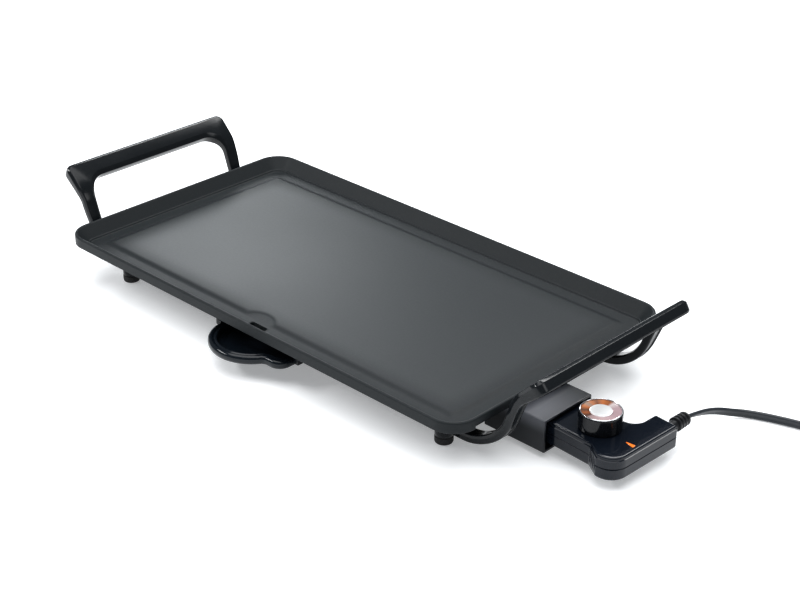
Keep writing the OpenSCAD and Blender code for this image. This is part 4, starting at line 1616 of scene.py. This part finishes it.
@dataclass
class Handle:
    """A looped end handle with its two feet's legs.

    Attributes:
        end: distance of the plate's end from its middle.
        half: half length over the grip.
        flare: how much further in a leg's outer side is.
        leg: width of a leg.
        leg_thick: thickness of a leg.
        grip_thick: thickness of the grip.
        off: how far the handle sits off the plate's middle line.
        foot_in: how far in from the plate's end the feet stand.
        foot_y: distance of a foot from the middle line.
        foot_z: height of a foot pad's underside.
        pad_top: height of its top.
        level: length of a leg's level start.
        low_z: height of a leg's middle there.
        sweep: radius of the leg's upward bend.
        steep: slope of a leg after it, in degrees.
        rise: length of the steep stretch.
        turn_out: radius of the bend into the grip.
        tilt: slope of the grip, in degrees.
        grip: width of the grip.
        opening: how far up the grip's slope the opening reaches.
        inner_round: corner radius of the opening.
        outer_round: corner radius of the grip's ends.
    """

    end: float = 250.0
    half: float = 98.6
    flare: float = 1.6
    leg: float = 15.1
    leg_thick: float = 8.0
    grip_thick: float = 12.3
    off: float = 2.4
    foot_in: float = 47.0
    foot_y: float = 98.0
    foot_z: float = 6.5
    pad_top: float = 15.5
    level: float = 16.0
    low_z: float = 10.5
    sweep: float = 48.0
    steep: float = 70.0
    rise: float = 17.0
    turn_out: float = 34.0
    tilt: float = 42.0
    grip: float = 24.0
    opening: float = 4.6
    inner_round: float = 19.0
    outer_round: float = 6.5

    def _along(self, s: float) -> Point:
        """The side view's middle line.

        Args:
            s: distance along it from the foot.

        Returns:
            Distance past the plate's end, height and slope.
        """
        steep, tilt = math.radians(self.steep), math.radians(self.tilt)
        x, z = -self.foot_in, self.low_z
        if s <= self.level:
            return x + s, z, 0.0
        x, s = x + self.level, s - self.level
        a = min(s / self.sweep, steep)
        x, z = x + self.sweep * math.sin(a), z + self.sweep * (1 - math.cos(a))
        s -= self.sweep * steep
        if s <= 0:
            return x, z, a
        step = min(s, self.rise)
        x, z = x + step * math.cos(steep), z + step * math.sin(steep)
        s -= self.rise
        if s <= 0:
            return x, z, steep
        length = self.turn_out * (steep - tilt)
        a = steep - min(s, length) / self.turn_out
        x += self.turn_out * (math.sin(steep) - math.sin(a))
        z += self.turn_out * (math.cos(a) - math.cos(steep))
        s -= length
        if s > 0:
            x, z = x + s * math.cos(tilt), z + s * math.sin(tilt)
        return x, z, a

    def _lengths(self) -> Flat:
        """Where the grip's slope begins and ends along the middle line."""
        steep, tilt = math.radians(self.steep), math.radians(self.tilt)
        start = self.level + self.sweep * steep + self.rise + self.turn_out * (steep - tilt)
        return start, start + self.grip

    @staticmethod
    def _resample(line: Sequence[Flat], count: int) -> list[Flat]:
        """Evenly spaced points on a line.

        Args:
            line: the line.
            count: number of points wanted.

        Returns:
            The points.
        """
        sums = [0.0]
        for a, b in zip(line, line[1:]):
            sums.append(sums[-1] + math.dist(a, b))
        out, j = [], 0
        for k in range(count):
            want = sums[-1] * k / (count - 1)
            while j < len(line) - 2 and sums[j + 1] < want:
                j += 1
            t = (want - sums[j]) / max(sums[j + 1] - sums[j], 1e-9)
            out.append((line[j][0] + (line[j + 1][0] - line[j][0]) * t,
                        line[j][1] + (line[j + 1][1] - line[j][1]) * t))
        return out

    def _edges(self) -> list[tuple[Flat, Flat]]:
        """Inner and outer edge points of the flat loop, foot to foot.

        Returns:
            Pairs of (across, along) points.
        """
        start, top = self._lengths()
        low = start + self.opening
        inside, r, q = self.half - self.leg, self.inner_round, self.outer_round
        knee = low - r
        pairs = []
        for k in range(45):
            s = knee * k / 44
            bow = 2.6 * math.sin(math.pi * min(1.0, max(0.0, (s - 18) / (knee - 18)))) ** 2
            pairs.append(((-inside, s), (bow - self.half + self.flare, s)))
        inner = arc((-inside + r, knee), r, 180, 90, 20)
        outer = [(-self.half + self.flare, knee), (-self.half + 0.3, knee + 12),
                 *arc((-self.half + q, top - q), q, 180, 90, 8),
                 (-inside + r, top)]
        corner = list(zip(self._resample(inner, 25), self._resample(outer, 25)))
        pairs += corner[1:]
        width = inside - r
        pairs += [((-width + 2 * width * k / 40, low), (-width + 2 * width * k / 40, top))
                  for k in range(1, 21)]
        return pairs + [((-a[0], a[1]), (-b[0], b[1])) for a, b in reversed(pairs[:-1])]

    def _section(self, width: float, thick: float, share: float) -> list[Flat]:
        """The section across the loop, with a bevel along the opening.

        Args:
            width: across the loop.
            thick: through it.
            share: 0 on a leg and 1 on the grip.

        Returns:
            Its outline: distance from the inner edge, and height.
        """
        half = thick / 2
        bevel, drop = 2.2 + 2.2 * share, 1.2 + 1.2 * share
        groove = 0.9 * (1 - share)
        r = 1.4 + 1.2 * share
        return fillet([(0, -half, 1.4), (2.4, -half, 0.4), (3.1, -half + groove, 0.4),
                       (width - 3.1, -half + groove, 0.4), (width - 2.4, -half, 0.4),
                       (width - 1.2 * share, -half, r), (width, 0.6 + 2.6 * share, 1.4),
                       (width - 0.8 - 2.0 * share, half, 1.4 + 0.8 * share), (bevel, half, 0.6),
                       (0, half - drop, 0.8)], 4)

    def shape(self) -> Shape:
        """The whole handle at the plate's right end.

        Returns:
            The shape.
        """
        start = self._lengths()[0]
        rings = []
        for inner, outer in self._edges():
            width = math.dist(inner, outer)
            share = max(0.0, min(1.0, (inner[1] - start + 20) / 24))
            share = share * share * (3 - 2 * share)
            thick = self.leg_thick + (self.grip_thick - self.leg_thick) * share
            ring = []
            for a, n in self._section(width, thick, share):
                t = a / width
                y = inner[0] + (outer[0] - inner[0]) * t
                s = inner[1] + (outer[1] - inner[1]) * t
                x, z, slope = self._along(s)
                ring.append((self.end + x - n * math.sin(slope), y + self.off,
                             z + n * math.cos(slope)))
            rings.append(ring)
        made = Shape().loft(rings)
        pad = [(4.4, self.foot_z), (7.2, self.foot_z), (7.9, self.foot_z + 0.6),
               (8.0, self.pad_top - 2.0), (7.6, self.pad_top - 0.6), (6.6, self.pad_top),
               (2.1, self.pad_top), (2.1, self.foot_z + 3.0), (4.4, self.foot_z + 3.0)]
        for side in (-1, 1):
            made.join(placed(turned(pad, 40, True), self.end - self.foot_in,
                             side * self.foot_y, 0))
        return made

    def build(self, shop: Workshop) -> None:
        """Makes both handles.

        Args:
            shop: the workshop.
        """
        right = self.shape()
        left = right.moved(Matrix.Rotation(math.pi, 4, "Z"))
        for end, shape in (("right", right), ("left", left)):
            shop.piece(f"handle_{end}", shape, "handle_gloss", Body.GRIDDLE,
                       [f"{end}_handle"], 50, False)


# ---------------------------------------------------------- feet and small parts


@dataclass
class Fasteners:
    """Feet and screws, set on their places by the geometry trees."""

    feet: tuple[Flat, ...] = Plate.feet
    foot_height: float = 6.5
    under: float = 33.0
    foot_sheet: float = 2.5
    clamps: tuple[Flat, ...] = tuple((x, y + s) for x in (-100, 100) for y in (-76, 92)
                                     for s in (-9, 9))
    guard: tuple[Flat, ...] = ((226, -53.5), (226, -9.5))
    rails: tuple[Flat, ...] = tuple((4 + s * 58, y) for s in (-1, 1) for y in (-118, -96))
    case: tuple[Flat, ...] = ((293, -47.5), (335, -55.5), (335, -7.5))

    def _foot(self) -> Shape:
        """A rubber foot with a ringed tread."""
        h = self.foot_height
        return turned([(0, 0.5), (3.0, 0.5), (3.4, 0.0), (4.4, 0.0), (4.8, 0.5), (5.6, 0.5),
                       (6.0, 0.0), (6.9, 0.0), (7.5, 0.4), (7.9, 1.2), (8.0, 2.2), (8.0, h - 0.7),
                       (7.6, h - 0.1), (7.0, h), (4.3, h), (4.3, h + 0.5), (0, h + 0.5)], 40)

    def build(self, shop: Workshop, repeats: Repeats) -> None:
        """Makes the feet and each group of screws.

        Args:
            shop: the workshop.
            repeats: the geometry trees.
        """
        feet = repeats.at("rubber_feet_set", self._foot(), [(*p, 0) for p in self.feet],
                          "soft_rubber")
        shop.piece("rubber_feet_set", feet, "soft_rubber", Body.GRIDDLE, ["rubber_feet"])
        low = self.under - self.foot_sheet
        groups = [
            ("handle_screw_set", screw(4, 14.0, 8, 2.5), self.feet, self.foot_height + 3,
             Body.GRIDDLE, "handle_screws"),
            ("clamp_screw_set", screw(3, 4.5, 5.6, 2), self.clamps, low, Body.GRIDDLE,
             "clamp_screws"),
            ("guard_screw_set", screw(3, 4.5, 5.6, 2), self.guard, low, Body.GRIDDLE,
             "guard_screws"),
            ("rail_screw_set", screw(3, 4.5, 5.6, 2), self.rails, low, Body.GRIDDLE,
             "rail_screws"),
            ("case_screw_set", screw(3, 13.2, 5.6, 2), self.case, 12.0, Body.CONTROLLER,
             "case_screws"),
        ]
        for name, blank, places, height, body, node in groups:
            mesh = repeats.at(name, blank, [(*p, height) for p in places], "plated_steel",
                              math.pi)
            shop.piece(name, mesh, "plated_steel", body, [node], 30)


@dataclass
class DripTray:
    """The pull-out drip tray.

    Attributes:
        middle: the tray's middle along the plate.
        half: its half width.
        back: its inner end.
        front: front of its square part.
        pull: centre and radius of the rounded pull.
        profile: inset and height round the section, from the underside to the floor.
    """

    middle: float = 4.0
    half: float = 47.0
    back: float = -90.0
    front: float = -139.0
    pull: Point = (-4.0, -119.0, 40.0)
    profile: tuple[Flat, ...] = (
        (10.0, 17.5), (4.0, 17.5), (2.2, 17.8), (0.9, 18.7), (0.2, 20.2), (0.0, 21.8),
        (0.1, 23.2), (0.6, 24.5), (1.5, 25.4), (2.5, 25.9), (3.2, 26.0), (3.9, 25.8),
        (4.7, 25.0), (5.3, 24.6), (5.9, 24.7), (6.5, 25.2), (7.1, 25.5), (7.8, 25.3),
        (8.4, 24.6), (8.9, 23.0), (9.4, 20.6), (10.0, 19.6), (10.8, 19.3), (11.6, 19.3))

    def _outline(self) -> list[Flat]:
        """The tray's plan, anticlockwise from the back right.

        Returns:
            The outline.
        """
        left, right = self.middle - self.half, self.middle + self.half
        cx, cy, r = self.pull
        meet = math.degrees(math.asin((self.front - cy) / r))
        line = [(right, self.back), (left, self.back)]
        line += [(left, self.back - 16 - k * 4) for k in range(4)]
        begin = 184 + math.degrees(math.acos(min(1.0, (cx - left) / r)))
        line += arc((cx, cy), r, begin, 360 + meet - 2.5, 36)
        line += [(cx + r * math.cos(math.radians(meet)) + 2.2, self.front + 0.15)]
        line += arc((right - 12, self.front + 12), 12, 270, 360, 14)
        return line + [(right, self.front + 12 + k * 4) for k in range(1, 6)]

    def build(self, shop: Workshop) -> None:
        """Makes the tray with its two runners.

        Args:
            shop: the workshop.
        """
        plan = self._outline()
        made = stacked(lambda amount: inset(plan, amount), self.profile)
        for side in (-1, 1):
            x0 = self.middle + side * self.half
            x1 = x0 + side * 3.0
            made.join(block(min(x0 - side * 0.4, x1), max(x0 - side * 0.4, x1), -123, -90, 24,
                            26, 0.3))
        shop.piece("tray_with_pull", made, "tray_gloss", Body.TRAY, ["drip_tray"], 45)


@dataclass
class Guard:
    """The moulded guard round the contact pins.

    Attributes:
        middle: its middle across the plate.
        half: its half width.
        low: height of its underside.
        inner_x: its end under the plate.
        step_x: where its top steps up, clear of the plate.
        outer_x: its open end.
        inner_top: height of its top under the plate.
        top: height of its top past the step.
        wall: its wall.
        probe_z: height of the probe and the pins.
        pitch: distance between the pins.
        painted_glow: middle of the painted reflection on its top.
    """

    middle: float = -31.5
    half: float = 30.0
    low: float = 4.5
    inner_x: float = 214.0
    step_x: float = 241.0
    outer_x: float = 277.0
    inner_top: float = 33.0
    top: float = 35.0
    wall: float = 2.5
    probe_z: float = 20.25
    pitch: float = 18.0
    painted_glow: Point = (249.0, -55.0, 35.0)

    def _ring(self, x: float, amount: float, top: float, radius: float) -> list[Point]:
        """The guard's section at one X.

        Args:
            x: where.
            amount: inset.
            top: height of the top before the inset.
            radius: corner radius.

        Returns:
            The ring.
        """
        height = top - self.low - 2 * amount
        line = rounded_box(2 * self.half - 2 * amount, height, radius, 5)
        middle = (top + self.low) / 2
        return [(x, self.middle + y, middle + z) for y, z in line]

    def build(self, shop: Workshop) -> None:
        """Makes the guard with its open mouth and the holes in its back wall.

        Args:
            shop: the workshop.
        """
        w, a, b, c = self.wall, self.inner_x, self.step_x, self.outer_x
        low, high = self.inner_top, self.top
        rings = [self._ring(*ring) for ring in (
            (a, 0.8, low, 1.2), (a + 0.8, 0, low, 1.6), (b - 0.1, 0, low, 1.6),
            (b + 0.1, 0, high, 1.8), (c - 0.7, 0, high, 1.8), (c - 0.2, 0.2, high, 1.6),
            (c, 0.7, high, 1.3), (c, 1.9, high, 1.0), (c - 0.3, 2.3, high, 0.9),
            (c - 0.9, w, high, 0.9), (b + w, w, high, 0.9), (b + w - 0.2, w, low, 0.9),
            (a + w, w, low, 0.9))]
        tools = Shape()
        for y, r in ((0.0, 3.5), (-self.pitch / 2, 4.0), (self.pitch / 2, 4.0)):
            hole = turned([(r, -3.0), (r, 6.0)], 32)
            tools.join(placed(hole, a, self.middle + y, self.probe_z, Axis.ALONG_X))
        mesh = shop.cut(Shape().loft(rings), tools, "pin_guard")
        shop.piece("pin_guard", mesh, "guard_gloss", Body.GRIDDLE, ["terminal_guard"], 40)


# ------------------------------------------------------------------- controller


@dataclass
class Controller:
    """The plug-in thermostat controller.

    Attributes:
        origin: plate point that its own coordinates start from.
        corners: x, y and radius of its plan's corners.
        low: height of its underside.
        middle: height of the parting line.
        top: height of its top.
        wall: its wall.
        lens: narrow end of the pilot lens.
        relief: where the strain relief leaves.
    """

    origin: Flat = (250.0, -31.5)
    corners: tuple[Point, ...] = (
        (8, -23, 1.5), (34, -23, 6), (68, -25, 4), (81, -33.6, 3), (99, -34, 15.5),
        (102, 46, 2.5), (78, 48, 2.5), (77, 22.3, 11), (34, 23, 6), (8, 23, 1.5))
    low: float = 10.0
    middle: float = 20.25
    top: float = 30.5
    wall: float = 2.2
    lens: Flat = (87.0, -2.0)
    relief: Flat = (90.0, 40.0)

    def _at(self, x: float, y: float, z: float) -> Point:
        """A controller point in plate coordinates."""
        return self.origin[0] + x, self.origin[1] + y, z

    def build(self, shop: Workshop, repeats: Repeats) -> None:
        """Makes both case halves, the grip ribs, the lens and the strain relief.

        Args:
            shop: the workshop.
            repeats: the geometry trees.
        """
        plan = [(x + self.origin[0], y + self.origin[1], radius) for x, y, radius in self.corners]

        def outline(amount: float) -> list[Flat]:
            """The case's plan at an inset."""
            return shrunk(plan, amount)

        m, t, w = self.middle, self.top, self.wall
        upper = [(w, t - w), (w, m + 0.05), (0.55, m + 0.05), (0.45, m + 0.35), (0.0, m + 0.6),
                 (0.0, t - 3.4), (0.1, t - 3.0), (0.8, t - 2.75), (1.0, t - 2.4), (1.0, t - 1.4),
                 (1.2, t - 0.7), (1.7, t - 0.25), (2.6, t), (4.2, t)]
        lower = [(w, self.low + w), (w, m - 0.05), (0.55, m - 0.05), (0.45, m - 0.35),
                 (0.0, m - 0.6), (0.0, self.low + 2.0), (0.3, self.low + 1.0),
                 (1.0, self.low + 0.3), (2.0, self.low), (4.0, self.low)]
        shop.piece("case_upper", stacked(outline, upper), "case_gloss", Body.CONTROLLER,
                   ["controller_upper_case"], 40)
        shop.piece("case_lower", stacked(outline, lower), "case_gloss", Body.CONTROLLER,
                   ["controller_lower_case"], 40)
        mesh = repeats.ribs("grip_ribs", self._at(70.0, -26.1, 20.3), self._at(79.4, -32.3, 20.3),
                            4, 0.85, 14.0, "case_gloss")
        shop.piece("grip_ribs", mesh, "case_gloss", Body.CONTROLLER)
        x, y = self.lens
        x, y = x + self.origin[0], y + self.origin[1]
        wedge = [(x, y - 1.8, 0.25), (x + 8.5, y - 4.2, 0.7), (x + 8.5, y, 0.7),
                 (x, y - 0.8, 0.25)]
        lens = stacked(lambda amount: shrunk(wedge, amount),
                       [(0.1, t - w + 0.1), (0.08, t + 0.1), (0.2, t + 0.38), (0.36, t + 0.5)])
        shop.piece("lens_wedge", lens, "orange_lens", Body.CONTROLLER, ["pilot_lens"])
        self._relief(shop)

    def _relief(self, shop: Workshop) -> None:
        """Makes the ribbed, tapering strain relief.

        Args:
            shop: the workshop.
        """
        profile = [(0.0, 0.2), (5.8, 0.2), (6.0, 0.5), (6.0, 1.7), (4.5, 2.2), (4.5, 9.0),
                   (5.0, 11.5), (5.1, 12.6), (4.8, 14.5), (4.5, 18.0), (4.6, 18.6)]
        for k in range(4):
            z, r = 19.0 + 4.0 * k, 6.35 - 0.12 * k
            profile += [(r - 0.5, z), (r, z + 0.4), (r, z + 1.8), (r - 0.4, z + 2.4),
                        (4.5, z + 2.8), (4.4, z + 3.4)]
        profile += [(4.2, 35.1), (3.9, 35.5), (0.0, 35.5)]
        shape = placed(turned(profile, 44), *self._at(*self.relief, self.middle), Axis.ALONG_Y)
        shop.piece("relief_sleeve", shape, "relief_rubber", Body.CONTROLLER, ["strain_relief"])


@dataclass
class Knob:
    """The temperature knob with its bezel, dial and cap.

    Attributes:
        centre: its place on the plate's coordinates.
        low: height of its underside.
        top: height of its top.
    """

    centre: Flat = (308.0, -30.5)
    low: float = 30.8
    top: float = 46.3

    def build(self, shop: Workshop) -> None:
        """Makes the knob's four pieces.

        Args:
            shop: the workshop.
        """
        t = self.top
        body = [(3.05, self.low), (6.0, self.low), (6.0, t - 6.0), (15.6, t - 6.0),
                (15.8, self.low + 0.3), (16.2, self.low), (17.3, self.low), (17.8, self.low + 0.4),
                (18.0, self.low + 1.2), (18.0, t - 1.6), (17.92, t - 1.0), (17.65, t - 0.62),
                (17.3, t - 0.62), (17.3, t - 1.02), (16.65, t - 1.02), (16.6, t - 2.5),
                (3.05, t - 2.5)]
        bezel = [(16.3, t - 1.0), (17.25, t - 1.0), (17.28, t - 0.6), (17.15, t - 0.25),
                 (16.9, t - 0.05), (16.65, t), (16.45, t - 0.15), (16.3, t - 0.5)]
        dial = [(9.37, t - 2.48), (16.53, t - 2.48), (16.5, t - 1.3), (16.2, t - 1.1),
                (15.2, t - 1.15), (13.0, t - 1.28), (10.8, t - 1.32), (9.8, t - 1.28),
                (9.37, t - 1.5)]
        cap = [(0.0, t - 2.48), (9.25, t - 2.48), (9.25, t - 1.1), (9.0, t - 0.75),
               (8.5, t - 0.58), (7.9, t - 0.52), (6.0, t - 0.46), (3.0, t - 0.42),
               (0.0, t - 0.4)]
        for name, profile, closed, finish, node in (
                ("knob_shell", body, True, "knob_gloss", "knob_body"),
                ("knob_trim_ring", bezel, True, "bezel_chrome", "knob_bezel"),
                ("knob_face_ring", dial, True, "dial_metal", "knob_dial"),
                ("knob_centre_disc", cap, False, "cap_metal", "knob_cap")):
            shape = placed(turned(profile, 96, closed), *self.centre, 0)
            shop.piece(name, shape, finish, Body.KNOB, [node], 35)


CARRIED = {
    "heating_element": "heated_sheath",
    "terminal_beads": "white_ceramic",
    "terminal_pins": "nickel",
    "element_clamps": "plated_steel",
    "probe_guide": "bare_aluminium",
    "tray_rails": "rail_gloss",
    "probe_stem": "nickel",
    "terminal_sockets": "contact_brass",
    "thermostat_frame": "plated_steel",
    "contact_blades": "contact_brass",
    "contact_points": "nickel",
    "spindle_bush": "contact_brass",
    "pilot_lamp": "lamp_glass",
    "cord_clamp": "grey_plastic",
    "spindle": "plated_steel",
    "plug_pins": "nickel",
}


def main() -> None:
    """Builds the classes in order."""
    logging.basicConfig(level=logging.INFO, format="%(name)s: %(message)s")
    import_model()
    datum = Datum()
    knob = Knob()
    centres = ((0, 0, Plate.gutter), (*knob.centre, 0), Guard.painted_glow)
    finishes = Finishes(*(tuple(datum.point(*centre)) for centre in centres))
    shop = Workshop(datum, finishes)
    studio = Studio()
    studio.camera(datum)
    CordSet().build(shop)
    repeats = Repeats(shop)
    Plate().build(shop)
    Handle().build(shop)
    Fasteners().build(shop, repeats)
    DripTray().build(shop)
    Guard().build(shop)
    Controller().build(shop, repeats)
    knob.build(shop)
    for node, finish in CARRIED.items():
        shop.dress(node, finish)
    studio.lights()
    studio.floor()
    LOG.info("%d pieces made", shop.count)


if __name__ == "__main__":
    main()
